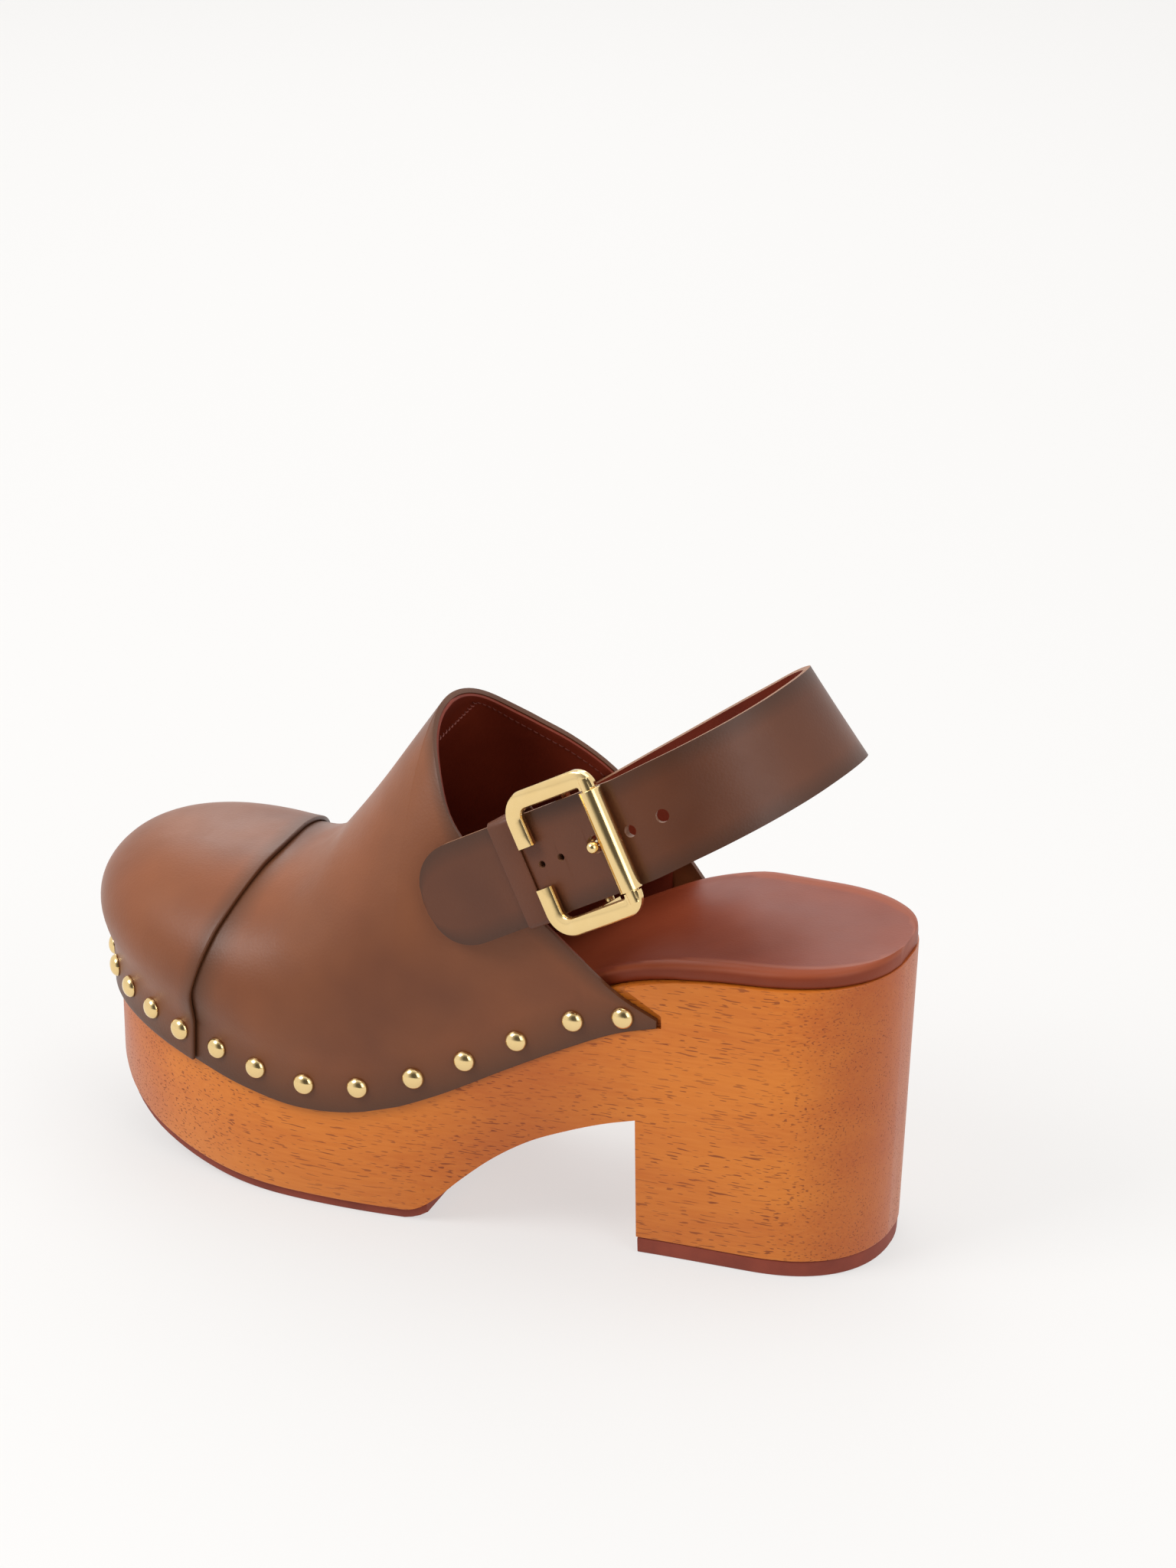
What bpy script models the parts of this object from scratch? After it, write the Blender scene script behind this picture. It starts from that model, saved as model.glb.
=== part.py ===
"""Wooden clog with a leather upper and a buckled sling strap.

A left shoe. The toe points to -X, the heel to +X, the outer (lateral) side with the buckle faces -Y
and +Z is up. The floor is z = 0. All tables and sizes below are in millimetres.
"""
import math

import bmesh
import bpy
import numpy as np
from mathutils import Matrix, Vector

MM = 0.001

# Plan outline of the wooden sole: half widths to the outer and the inner side of the foot.
TOE_X = -129.0
HEEL_X = 120.0
OUTER_WIDTH = [(-129, 43.5), (-90, 43.8), (-50, 44.5), (-25, 43.5), (0, 40.5), (25, 37.5), (50, 35), (75, 34), (120, 33)]
INNER_WIDTH = [(-129, 35.5), (-90, 41), (-60, 43.5), (-25, 39), (0, 35.5), (25, 34.5), (50, 34.5), (62, 33.6),
               (75, 31.5), (95, 29.5), (120, 28.5)]
CENTRE_LINE = [(-129, 9), (-95, 5), (-60, 0), (0, 0), (120, 1)]
OUTER_TOE_ROUND = 62.0
INNER_TOE_ROUND = 46.0
HEEL_ROUND = 36.0

# Side profile of the wood.
WOOD_TOP = [(-129, 56.5), (-110, 54), (-83, 51), (-50, 47.5), (-22, 51), (0, 60), (15, 69), (30, 78), (45, 85.5),
            (60, 90), (90, 93), (120, 94)]
WOOD_BOTTOM = [(-129, 30), (-127, 24.5), (-121, 17.5), (-110, 11.5), (-96, 7.4), (-80, 4.6), (-62, 3.4), (-50, 3.4),
               (-20, 3.4)]
ARCH = [(-23, 2.8), (-20, 3.3), (-15, 4.9), (-9, 9.5), (-3, 15.5), (7, 24.5), (18, 32), (30, 37.5), (41, 41.5), (50, 44)]
BREAST_X = 50.0
HEEL_TIP_HEIGHT = 5.0

# Leather upper: lower edge, crest and the line where the opening is cut.
UPPER_EDGE = [(-129, 45), (-112, 43.5), (-95, 41), (-83, 39.1), (-68, 36.3), (-50, 34), (-33, 35.5), (-22, 38.5),
              (-8, 44.5), (13, 56), (30, 65), (45, 72), (57, 75.5)]
CREST = [(-99, 89.5), (-88, 90.2), (-78, 91), (-66, 93.5), (-55, 100.5), (-46, 111.5), (-38, 122.5), (-29, 136), (-20, 149.5),
         (0, 163), (20, 172), (60, 180)]
OUTER_TOPLINE = [(-20, 149.5), (-14, 140.5), (-8, 130), (0, 121.5), (10, 113.5), (23, 104), (34, 94), (45, 84),
                 (57, 77.5)]
INNER_TOPLINE = [(-20, 149.5), (-12, 141), (-4, 135.5), (6, 129.5), (18, 120), (30, 106), (39, 96), (47, 86),
                 (57, 77.5)]
SPINE_FRONT_X = -99.0
THROAT_X = -20.0
BAND_HEIGHT = 13.0
REBATE = 2.2
CAP_SEAM = [(35, -85), (60, -84), (80, -78.5), (92, -74), (98, -68)]

# Layers of the upper, as distances out from the inner face of the vamp leather.
LINING_LAYER = (-1.0, -0.2)
VAMP_LAYER = (0.0, 1.6)
PUFF_LAYER = (0.0, 1.5)
CAP_LAYER = (2.2, 3.5)

# The straight part of the sling strap lies in a plane through the buckle's centre bar.
STRAP_WIDTH = 30.0
STRAP_SLOPE = 30.0
BUCKLE_AT = (37.1, -42.75, 131.4)

# The finished clog is moved so that the middle of its outline is at x = 0, y = 0.
CENTRE_MOVE = Vector((7.186, 1.623, 0.0))


SLOPES = {}


def slopes_of(points):
    """Slope of a table's smooth curve at each of its points."""
    key = id(points)
    if key not in SLOPES:
        xs = [float(p[0]) for p in points]
        vs = [float(p[1]) for p in points]
        SLOPES[key] = (xs, vs, [float(v) for v in np.gradient(vs, xs)])
    return SLOPES[key]


def table(points, x):
    """Smooth curve through the points of a table."""
    xs, vs, slopes = slopes_of(points)
    x = min(max(float(x), xs[0]), xs[-1])
    i = 0
    while i < len(xs) - 2 and x > xs[i + 1]:
        i += 1
    span = xs[i + 1] - xs[i]
    t = (x - xs[i]) / span
    start = (1 + 2 * t) * (1 - t) ** 2 * vs[i] + t * (1 - t) ** 2 * span * slopes[i]
    return start + t * t * (3 - 2 * t) * vs[i + 1] + t * t * (t - 1) * span * slopes[i + 1]


def straight(points, x):
    """Straight lines through the points of a table."""
    return float(np.interp(x, [p[0] for p in points], [p[1] for p in points]))


def round_end(distance, radius, power):
    """Factor that closes a half width to zero at the end of the outline."""
    t = min(max(1 - distance / radius, 0.0), 1.0)
    return (1 - t ** power) ** (1 / power)


def outline(x, side, inset=0.0):
    """Y of the plan outline at x: side -1 is the outer side, side 1 the inner side."""
    width = table(OUTER_WIDTH if side < 0 else INNER_WIDTH, x)
    toe_round = OUTER_TOE_ROUND if side < 0 else INNER_TOE_ROUND
    toe = round_end(x - (TOE_X + inset), toe_round - inset, 2.1)
    heel = round_end(HEEL_X - inset - x, HEEL_ROUND - inset, 2.4)
    return table(CENTRE_LINE, x) + side * (width - inset) * toe * heel


def stations(start, end, round_start, round_end_too, count):
    """X stations, closer together where the outline rounds off at either end."""
    places = []
    for i in range(count):
        a = i / (count - 1)
        warped = a
        if round_start and a < 0.35:
            warped = 0.35 * (1 - math.cos(a / 0.35 * math.pi / 2))
        if round_end_too and a > 0.7:
            warped = 1 - 0.3 * (1 - math.cos((1 - a) / 0.3 * math.pi / 2))
        places.append(start + (end - start) * warped)
    return places


def new_object(name, mesh, material, collection):
    obj = bpy.data.objects.new(name, mesh)
    obj.data.materials.append(material)
    collection.objects.link(obj)
    return obj


def mesh_from(name, verts, faces):
    """Mesh from points in millimetres, with doubles merged and faces turned outward."""
    mesh = bpy.data.meshes.new(name)
    mesh.from_pydata([tuple(float(c) * MM for c in v) for v in verts], [], faces)
    bm = bmesh.new()
    bm.from_mesh(mesh)
    bmesh.ops.remove_doubles(bm, verts=bm.verts, dist=0.00002)
    bmesh.ops.dissolve_degenerate(bm, edges=bm.edges, dist=0.00001)
    bmesh.ops.recalc_face_normals(bm, faces=bm.faces)
    bm.to_mesh(mesh)
    bm.free()
    return mesh


def grid_faces(rows, columns, wrap=False):
    """Triangles of a grid of points stored row by row."""
    faces = []
    last = columns if wrap else columns - 1
    for r in range(rows - 1):
        for c in range(last):
            d = (c + 1) % columns
            faces.append((r * columns + c, r * columns + d, (r + 1) * columns + d))
            faces.append((r * columns + c, (r + 1) * columns + d, (r + 1) * columns + c))
    return faces


def closed_loft(name, sections):
    """Solid through closed sections that all have the same number of points."""
    count = len(sections[0])
    verts = [p for section in sections for p in section]
    faces = grid_faces(len(sections), count, wrap=True)
    faces.append(tuple(range(count))[::-1])
    faces.append(tuple(range((len(sections) - 1) * count, len(sections) * count)))
    return mesh_from(name, verts, faces)


def material(name, colour, roughness, metallic=0.0):
    mat = bpy.data.materials.new(name)
    mat.use_nodes = True
    shader = mat.node_tree.nodes["Principled BSDF"]
    shader.inputs["Base Color"].default_value = (*colour, 1.0)
    shader.inputs["Roughness"].default_value = roughness
    shader.inputs["Metallic"].default_value = metallic
    mat.diffuse_color = (*colour, 1.0)
    return mat


def boolean(obj, cutter, operation):
    mod = obj.modifiers.new(operation.title(), "BOOLEAN")
    mod.object = cutter
    mod.operation = operation
    mod.solver = "EXACT"
    return mod


def extruded(name, profile, y0, y1, cutters):
    """Cutter: a side profile of (x, z) points pushed through from y0 to y1."""
    near = [(x, y0, z) for x, z in profile]
    far = [(x, y1, z) for x, z in profile]
    count = len(profile)
    faces = [tuple(range(count)), tuple(range(count, 2 * count))[::-1]]
    for i in range(count):
        j = (i + 1) % count
        faces.append((i, j, count + j, count + i))
    obj = new_object(name, mesh_from(name, near + far, faces), CUT, cutters)
    obj.hide_render = True
    obj.display_type = "WIRE"
    return obj


# ---------------------------------------------------------------------------------------------
# The sole and what lies on it.

def slab_sections(xs, bottom, top, inset, corner):
    """Sections of a slab that follows the sole's outline between two side profiles."""
    sections = []
    for x in xs:
        y0 = outline(x, -1, inset)
        y1 = outline(x, 1, inset)
        z0 = float(bottom(x))
        z1 = float(top(x))
        c = min(corner, (y1 - y0) * 0.3, (z1 - z0) * 0.3)
        third = (y1 - y0) / 3
        sections.append([
            (x, y0 + c, z0), (x, y0 + third, z0), (x, y1 - third, z0), (x, y1 - c, z0),
            (x, y1, z0 + c), (x, y1, z1 - c),
            (x, y1 - c, z1), (x, y1 - third, z1), (x, y0 + third, z1), (x, y0 + c, z1),
            (x, y0, z1 - c), (x, y0, z0 + c)])
    return sections


def taper_wood(mesh):
    """Sides draw in a little towards the floor, the heel more at its back."""
    for vert in mesh.vertices:
        x, y, z = (c / MM for c in vert.co)
        low = max(0.0, 1 - z / 60.0)
        vert.co.y = (y * (1 - 0.085 * low ** 1.3)) * MM
        if x > BREAST_X + 5:
            vert.co.x = (x - (x - BREAST_X) * 0.055 * low) * MM


def wood_bottom(x):
    """Underside of the block before the arch is cut: the rocker of the toe, then the top of the heel tip."""
    if x > 0:
        return HEEL_TIP_HEIGHT + 0.2
    return table(WOOD_BOTTOM, x)


def wooden_sole(collection, cutters):
    xs = stations(TOE_X + 0.25, HEEL_X - 0.25, True, True, 40)
    mesh = closed_loft("wooden_sole", slab_sections(
        xs, wood_bottom,
        lambda x: table(WOOD_TOP, x), 0.0, 0.8))
    obj = new_object("wooden_sole", mesh, WOOD, collection)
    taper_wood(obj.data)
    # The arch between the forefoot and the heel block.
    arch = [(x, table(ARCH, x)) for x in np.linspace(-23, BREAST_X, 22)]
    arch = [(-23.0, -6.0)] + arch + [(BREAST_X, -6.0)]
    boolean(obj, extruded("cut_arch", arch, -70, 70, cutters), "DIFFERENCE")
    # The rebate that takes the leather.
    edge = [(x, table(UPPER_EDGE, x) - 0.5) for x in np.linspace(TOE_X, 57, 30)]
    band = [(-140.0, 44.5)] + edge + [(58.4, 74.9), (58.4, 79.6), (46.0, 87.6), (20.0, 110.0), (-140.0, 110.0)]
    cutter = extruded("cut_rebate", band, -70, 70, cutters)
    core = new_object("cut_rebate_core", closed_loft("cut_rebate_core", slab_sections(
        stations(TOE_X + REBATE + 0.02, 80, True, False, 36), lambda x: -20, lambda x: 130, REBATE, 0.1)), CUT, cutters)
    core.hide_render = True
    core.display_type = "WIRE"
    boolean(cutter, core, "DIFFERENCE")
    boolean(obj, cutter, "DIFFERENCE")
    boolean(obj, STUD_HOLES[0], "DIFFERENCE")
    return obj


def forefoot_tread(collection):
    """Thin rubber sheet under the forefoot that follows the rocker of the toe."""
    xs = stations(TOE_X + 2.6, -13, True, False, 26)

    def under(x):
        return max((table(WOOD_BOTTOM, x) if x < -20 else table(ARCH, x)) - 3.4, 0.0)

    def over(x):
        return (table(WOOD_BOTTOM, x) if x < -20 else table(ARCH, x)) - 0.6
    mesh = closed_loft("forefoot_tread", slab_sections(xs, under, over, 2.2, 0.6))
    taper_wood(mesh)
    return new_object("forefoot_tread", mesh, RUBBER, collection)


def heel_tip(collection):
    """Rubber top piece under the heel block."""
    xs = stations(BREAST_X + 0.3, HEEL_X - 0.4, False, True, 18)
    mesh = closed_loft("heel_tip", slab_sections(xs, lambda x: 0.0, lambda x: HEEL_TIP_HEIGHT, 0.3, 0.5))
    taper_wood(mesh)
    return new_object("heel_tip", mesh, RUBBER, collection)


def footbed_inset(x):
    """The footbed narrows where it lies inside the upper."""
    return float(np.interp(x, [40, 66], [4.6, 0.4]))


def footbed_layer(name, low, high, extra, mat, collection, corner):
    xs = stations(TOE_X + 5 + extra, HEEL_X - 0.8 - extra, True, True, 34)
    sections = []
    for x in xs:
        sections += slab_sections([x], lambda x: table(WOOD_TOP, x) + low, lambda x: table(WOOD_TOP, x) + high,
                                  footbed_inset(x) + extra, corner)
    return new_object(name, closed_loft(name, sections), mat, collection)


def footbed_cover(collection, cutters):
    """Leather over the pad, closed down its edge to the board."""
    cover = footbed_layer("footbed_cover", 0.25, 5.6, 0.0, FOOTBED, collection, 2.2)
    hollow = footbed_layer("cut_footbed", -4.0, 4.3, 1.5, CUT, cutters, 1.2)
    hollow.hide_render = True
    hollow.display_type = "WIRE"
    boolean(cover, hollow, "DIFFERENCE")
    return cover


# ---------------------------------------------------------------------------------------------
# The leather upper.

TIP_X = TOE_X + 1.45


def upper_base(x, side):
    """Foot of the upper's wall on the sole."""
    x = max(x, TIP_X)
    return np.array([x, outline(x, side, 1.45), table(UPPER_EDGE, x)])


def fullness(x):
    """Power of the rounded section: higher is boxier."""
    return float(np.interp(x, [-120, -97, -66, -40, -20, 20], [3.1, 2.9, 2.5, 2.15, 2.05, 2.1]))


def bulge(x):
    return float(np.interp(x, [-129, -100, -70, -30, 20, 57], [4.4, 5.0, 4.4, 3.0, 1.6, 0.4]))


def upper_point(x, side, t):
    """Point on the upper: x and side pick the rib, t runs from the lower edge (0) to the crest (1)."""
    base = upper_base(x, side)
    spine_x = max(float(base[0]), SPINE_FRONT_X)
    spine = np.array([spine_x, float(table(CENTRE_LINE, spine_x)), float(table(CREST, spine_x))])
    band = 0.16
    if t <= band:
        return base + np.array([0, 0, BAND_HEIGHT * t / band])
    tau = (t - band) / (1 - band)
    power = fullness(x)
    angle = tau * math.pi / 2
    out = max(math.cos(angle), 0.0) ** (2 / power)
    rise = math.sin(angle) ** (2 / power)
    z0 = base[2] + BAND_HEIGHT
    reach = base[:2] - spine[:2]
    length = float(np.hypot(*reach))
    swell = bulge(x) * math.sin(math.pi * math.sqrt(tau)) ** 2
    plan = spine[:2] + reach * (out + swell / max(length, 1e-6))
    return np.array([plan[0], plan[1], z0 + (spine[2] - z0) * rise])


def rib_t(x, side, z):
    """How far up a rib a height is reached."""
    low, high = 0.0, 1.0
    for _ in range(22):
        mid = (low + high) / 2
        if upper_point(x, side, mid)[2] < z:
            low = mid
        else:
            high = mid
    return low


def topline_t(x, side):
    """How far up a rib the opening is cut."""
    if x <= THROAT_X:
        return 1.0
    return rib_t(x, side, table(OUTER_TOPLINE if side < 0 else INNER_TOPLINE, x))


def upper_normal(x, side, t):
    """Outward direction of the upper at a point."""
    if t > 0.995:
        at_x = max(x, SPINE_FRONT_X + 0.5)
        slope = (table(CREST, at_x + 0.5) - table(CREST, at_x - 0.5)) / 1.0
        normal = np.array([-slope, 0.0, 1.0])
        return normal / np.linalg.norm(normal)
    t = min(max(t, 0.004), 0.985)
    if x < TIP_X + 0.05:
        along = np.array([0.0, 1.0, 0.0])
    elif x < SPINE_FRONT_X:
        along = upper_point(min(x + 0.2, SPINE_FRONT_X), side, t) - upper_point(max(x - 0.2, TIP_X), side, t)
    else:
        along = upper_point(x + 0.4, side, t) - upper_point(x - 0.01, side, t)
    up = upper_point(x, side, t + 0.008) - upper_point(x, side, t - 0.004)
    normal = np.cross(along, up)
    normal = normal / (np.linalg.norm(normal) + 1e-12)
    centre = np.array([max(x + 10, SPINE_FRONT_X), 0.0, 50.0])
    if np.dot(normal, upper_point(x, side, t) - centre) < 0:
        normal = -normal
    return normal


RIBS_BACK = [-86, -80, -73, -66, -60, -54, -48, -42, -36, -30, -25, -20, -19.7, -18.6, -16, -12, -6, 0, 8, 17, 27, 38,
             48, 56.6]


def rib_places(first_x, last_x):
    """X of the ribs along one side, from the toe tip to last_x."""
    angles = [math.pi / 2 * i / 8 for i in range(9)]
    front = [TIP_X + (SPINE_FRONT_X - TIP_X) * (1 - math.cos(a)) for a in angles]
    places = [x for x in front + RIBS_BACK if first_x <= x <= last_x]
    return places


def rows_up(x, side, whole):
    """Steps up a rib: three beside the wood and eight above it, or only the eight above it."""
    end = topline_t(x, side)
    split = rib_t(x, side, table(WOOD_TOP, x) + 1.2)
    if split > 0.7 * end:
        split = 0.5 * end
    above = [split + (end - split) * i / 8 for i in range(9)]
    if not whole:
        return above
    return [split * i / 3 for i in range(3)] + above


def shell(name, first_x, last_x, whole, layer, mat, collection, rear_edge=None):
    """A layer of the upper between two distances from its reference surface."""
    places = rib_places(first_x, last_x)
    rows = 11 if whole else 8
    verts = []
    for lift in layer:
        for side in (-1, 1):
            for x in places:
                for t in rows_up(x, side, whole):
                    xx = x
                    if rear_edge and x > SPINE_FRONT_X:
                        # The rear edge of the piece runs at a slant over the foot.
                        limit = straight(rear_edge, upper_point(x, side, t)[2])
                        part = (x - SPINE_FRONT_X) / (places[-1] - SPINE_FRONT_X)
                        xx = SPINE_FRONT_X + part * (limit - SPINE_FRONT_X)
                    verts.append(upper_point(xx, side, t) + upper_normal(xx, side, t) * lift)
    columns = rows + 1
    size = len(places) * columns
    bm = bmesh.new()
    points = [bm.verts.new([float(c) * MM for c in v]) for v in verts]
    for block in range(4):
        for r in range(len(places) - 1):
            for c in range(rows):
                a = block * size + r * columns + c
                b = a + columns
                for face in ([a, a + 1, b + 1], [a, b + 1, b]):
                    bm.faces.new([points[i] for i in (face if block in (0, 3) else face[::-1])])
    # Both halves are joined along the crest and at the tip, layer by layer.
    for group in (points[:2 * size], points[2 * size:]):
        bmesh.ops.remove_doubles(bm, verts=group, dist=0.00004)
    rim = [e for e in bm.edges if e.is_boundary]
    bmesh.ops.bridge_loops(bm, edges=rim)
    bmesh.ops.recalc_face_normals(bm, faces=bm.faces)
    mesh = bpy.data.meshes.new(name)
    bm.to_mesh(mesh)
    bm.free()
    return new_object(name, mesh, mat, collection)


def upper_pieces(collection):
    vamp = shell("vamp", SPINE_FRONT_X - 0.01, 57, True, VAMP_LAYER, LEATHER, collection)
    cap = shell("toe_cap", TIP_X - 1, -66, True, CAP_LAYER, LEATHER, collection, CAP_SEAM)
    puff = shell("toe_puff", TIP_X - 1, SPINE_FRONT_X + 0.01, True, PUFF_LAYER, BOARD, collection, None)
    lining = shell("lining", TIP_X - 1, 34, False, LINING_LAYER, LINING, collection)
    # The stiffener stops just ahead of the vamp's front edge.
    for vert in puff.data.vertices:
        if vert.co.x > (SPINE_FRONT_X - 0.2) * MM:
            vert.co.x = (SPINE_FRONT_X - 0.3) * MM
    for obj in (vamp, cap, puff):
        boolean(obj, STUD_HOLES[0], "DIFFERENCE")
    return vamp, cap, puff, lining


# ---------------------------------------------------------------------------------------------
# The studs.

STUD_OUTER = [46.7, 32.1, 15.6, 0.3, -14.8, -31.4, -48.0, -63.6, -77, -89.5, -101, -111.3, -119.8, -125.6]
STUD_INNER = [46.7, 32.1, 16.5, 1.2, -14.0, -29.5, -45.5, -61, -75.5, -88.5, -100.5, -111.8, -121.2]
STUD_HOLES = []


def stud_places():
    """Point on the band and outward direction of every stud."""
    places = []
    rows = [(x, -1) for x in STUD_OUTER] + [(TIP_X, -1)] + [(x, 1) for x in reversed(STUD_INNER)]
    for x, side in rows:
        high = 8.0 if x < 40 else 4.6
        t = 0.16 * high / BAND_HEIGHT
        point = upper_point(x, side, t)
        normal = upper_normal(x, side, t)
        seam = straight(CAP_SEAM, point[2])
        lift = CAP_LAYER[1] if x < seam - 2 else VAMP_LAYER[1]
        places.append((Vector(point), Vector((normal[0], normal[1], 0)).normalized(), lift))
    return places


def lathe(name, profile, centre, axis, mat, collection, steps):
    """Solid of revolution: profile of (radius, height) pairs about an axis through centre."""
    side = axis.orthogonal().normalized()
    other = axis.cross(side).normalized()
    verts, faces, rings = [], [], []
    for radius, height in profile:
        if radius < 1e-6:
            rings.append([len(verts)])
            verts.append(centre + axis * height)
            continue
        ring = []
        for k in range(steps):
            a = 2 * math.pi * k / steps
            ring.append(len(verts))
            verts.append(centre + axis * height + side * (radius * math.cos(a)) + other * (radius * math.sin(a)))
        rings.append(ring)
    for low, high in zip(rings, rings[1:]):
        for k in range(steps):
            j = (k + 1) % steps
            if len(low) == 1:
                faces.append((low[0], high[k], high[j]))
            elif len(high) == 1:
                faces.append((low[k], low[j], high[0]))
            else:
                faces.append((low[k], low[j], high[j], high[k]))
    if len(rings[0]) > 1:
        faces.append(tuple(rings[0])[::-1])
    if len(rings[-1]) > 1:
        faces.append(tuple(rings[-1]))
    return new_object(name, mesh_from(name, verts, faces), mat, collection)


def stud_holes(cutters):
    """Drill for every stud, in one cutter."""
    bm = bmesh.new()
    for point, normal, lift in stud_places():
        turn = normal.to_track_quat("Z", "Y").to_matrix().to_4x4()
        place = Matrix.Translation((point - normal * 3.2) * MM) @ turn
        bmesh.ops.create_cone(bm, cap_ends=True, segments=8, radius1=1.05 * MM, radius2=1.05 * MM, depth=17 * MM,
                              matrix=place)
    mesh = bpy.data.meshes.new("cut_stud_holes")
    bm.to_mesh(mesh)
    bm.free()
    obj = new_object("cut_stud_holes", mesh, CUT, cutters)
    obj.hide_render = True
    obj.display_type = "WIRE"
    STUD_HOLES.append(obj)


def studs(collection):
    for i, (point, normal, lift) in enumerate(stud_places()):
        seat = lift + 0.12
        profile = [(0, -9.5), (0.75, -8.0), (0.75, seat), (3.25, seat), (3.2, seat + 0.5), (2.6, seat + 1.35),
                   (1.5, seat + 1.95), (0, seat + 2.2)]
        lathe("stud_%02d" % (i + 1), profile, point, normal, BRASS, collection, 10)


# ---------------------------------------------------------------------------------------------
# The sling strap and its buckle.

def strap_axes():
    """Unit directions of the straight part: along the strap, across it upward, and outward."""
    slope = math.radians(STRAP_SLOPE)
    along = Vector((math.cos(slope), -0.02, math.sin(slope))).normalized()
    across = Vector((-math.sin(slope), 0.17, math.cos(slope)))
    across = (across - along * across.dot(along)).normalized()
    out = along.cross(across)
    if out.y > 0:
        out = -out
    return along, across, out


def at(u, n, h):
    """Point in the strap's own directions, measured from the centre of the buckle."""
    along, across, out = strap_axes()
    return Vector(BUCKLE_AT) + along * u + across * n + out * h


LOOP = [(62, -40.2, 146), (71, -35.5, 151), (80, -28, 155.8), (87.5, -18, 159.6), (92, -7, 161.6), (93.3, 4, 161.3),
        (91, 14.5, 158.3), (84.5, 23.3, 152.5), (75, 28.6, 144.5), (63, 30.7, 135.2), (50, 30.9, 125.3),
        (38, 29.7, 116.5), (27, 28.9, 108.3), (16, 28.6, 100.2), (6, 28.4, 92.8)]
STRAIGHT_U = [-54, -53.4, -51.6, -49, -45, -36, -27, -17, -9, 0, 9, 18]
TAIL_WIDTH = [4.0, 7.4, 11.0, 13.6, 15.0]


def strap_path():
    """Centre, across and outward directions along the sling strap, and half widths."""
    along, across, out = strap_axes()
    centres = [at(u, 0, 0) for u in STRAIGHT_U]
    knots = [at(9, 0, 0), at(18, 0, 0)] + [Vector(p) for p in LOOP] + [Vector((-4, 28.2, 85.4))]
    for a, b, c, d in zip(knots, knots[1:], knots[2:], knots[3:]):
        for t in (1 / 3, 2 / 3, 1.0):
            centres.append(0.5 * (2 * b + (c - a) * t + (2 * a - 5 * b + 4 * c - d) * t ** 2
                                  + (3 * b - a - 3 * c + d) * t ** 3))
    path = []
    widths = []
    for i, centre in enumerate(centres):
        ahead = centres[min(i + 1, len(centres) - 1)] - centres[max(i - 1, 0)]
        ahead = along if i < len(STRAIGHT_U) else ahead.normalized()
        share = min(max((centre.y + 40) / 70, 0), 1) if i >= len(STRAIGHT_U) else 0
        wide = across.lerp(Vector((-0.616, -0.05, 0.788)), share)
        wide = (wide - ahead * wide.dot(ahead)).normalized()
        path.append((centre, wide, ahead.cross(wide)))
        widths.append(TAIL_WIDTH[i] if i < len(TAIL_WIDTH) else STRAP_WIDTH / 2)
    return path, widths


def strap_layer(name, low, high, trim, mat, collection):
    """One leather of the sling strap, between two distances from the strap's middle."""
    path, widths = strap_path()
    sections = []
    for (centre, wide, out), w in zip(path, widths):
        a = wide * (w - trim)
        sections.append([centre - a + out * low, centre + a + out * low, centre + a + out * high,
                         centre - a + out * high])
    obj = new_object(name, closed_loft(name, sections), mat, collection)
    return obj


def strap_holes(cutters):
    """Punches for the row of holes."""
    bm = bmesh.new()
    along, across, out = strap_axes()
    curved = strap_path()[0]
    places = [(at(6, 0, 0), out, 2.3), (at(18, 0, 0), out, 1.75), (at(-6, 0, 0), out, 1.1), (at(-12.6, 0, 0), out, 1.1)]
    third = min(curved, key=lambda place: (place[0] - at(28, 0, 0)).length)
    places.append((third[0], third[2], 1.9))
    for point, axis, radius in places:
        turn = axis.to_track_quat("Z", "Y").to_matrix().to_4x4()
        bmesh.ops.create_cone(bm, cap_ends=True, segments=12, radius1=radius * MM, radius2=radius * MM, depth=8 * MM,
                              matrix=Matrix.Translation(point * MM) @ turn)
    mesh = bpy.data.meshes.new("cut_strap_holes")
    bm.to_mesh(mesh)
    bm.free()
    obj = new_object("cut_strap_holes", mesh, CUT, cutters)
    obj.hide_render = True
    obj.display_type = "WIRE"
    return obj


def sling(collection, cutters):
    holes = strap_holes(cutters)
    outer = strap_layer("sling_strap", -0.2, 1.15, 0.0, LEATHER, collection)
    inner = strap_layer("sling_strap_lining", -1.3, -0.6, 0.0, LINING, collection)
    for obj in (outer, inner):
        boolean(obj, holes, "DIFFERENCE")


BAR_H = -4.4
CHAPE = [(-62, -9.2), (-54, -10.0), (-45, -11.5), (-37, -12.0), (-30, -11.0), (-22, -8.2), (-12, -5.0), (-5, -3.0)]
CHAPE_RETURN = [(-6, -7.1), (-12, -7.6), (-22, -9.8), (-30, -12.55), (-32.3, -13.3)]


def thick_line(points, low, high):
    """Closed outline of a line given a thickness, in the plane of the strap's length and its outward side."""
    left, right = [], []
    for i, (u, h) in enumerate(points):
        p = points[max(i - 1, 0)]
        q = points[min(i + 1, len(points) - 1)]
        du, dh = q[0] - p[0], q[1] - p[1]
        size = math.hypot(du, dh)
        left.append((u - dh / size * high, h + du / size * high))
        right.append((u - dh / size * low, h + du / size * low))
    return left + right[::-1]


def strap_prism(name, outline_uh, n0, n1, mat, collection):
    """Solid with a side outline in the strap's plane, pushed across the strap's width."""
    near = [at(u, n0, h) for u, h in outline_uh]
    far = [at(u, n1, h) for u, h in outline_uh]
    count = len(outline_uh)
    faces = [tuple(range(count)), tuple(range(count, 2 * count))[::-1]]
    for i in range(count):
        j = (i + 1) % count
        faces.append((i, j, count + j, count + i))
    return new_object(name, mesh_from(name, near + far, faces), mat, collection)


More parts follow.
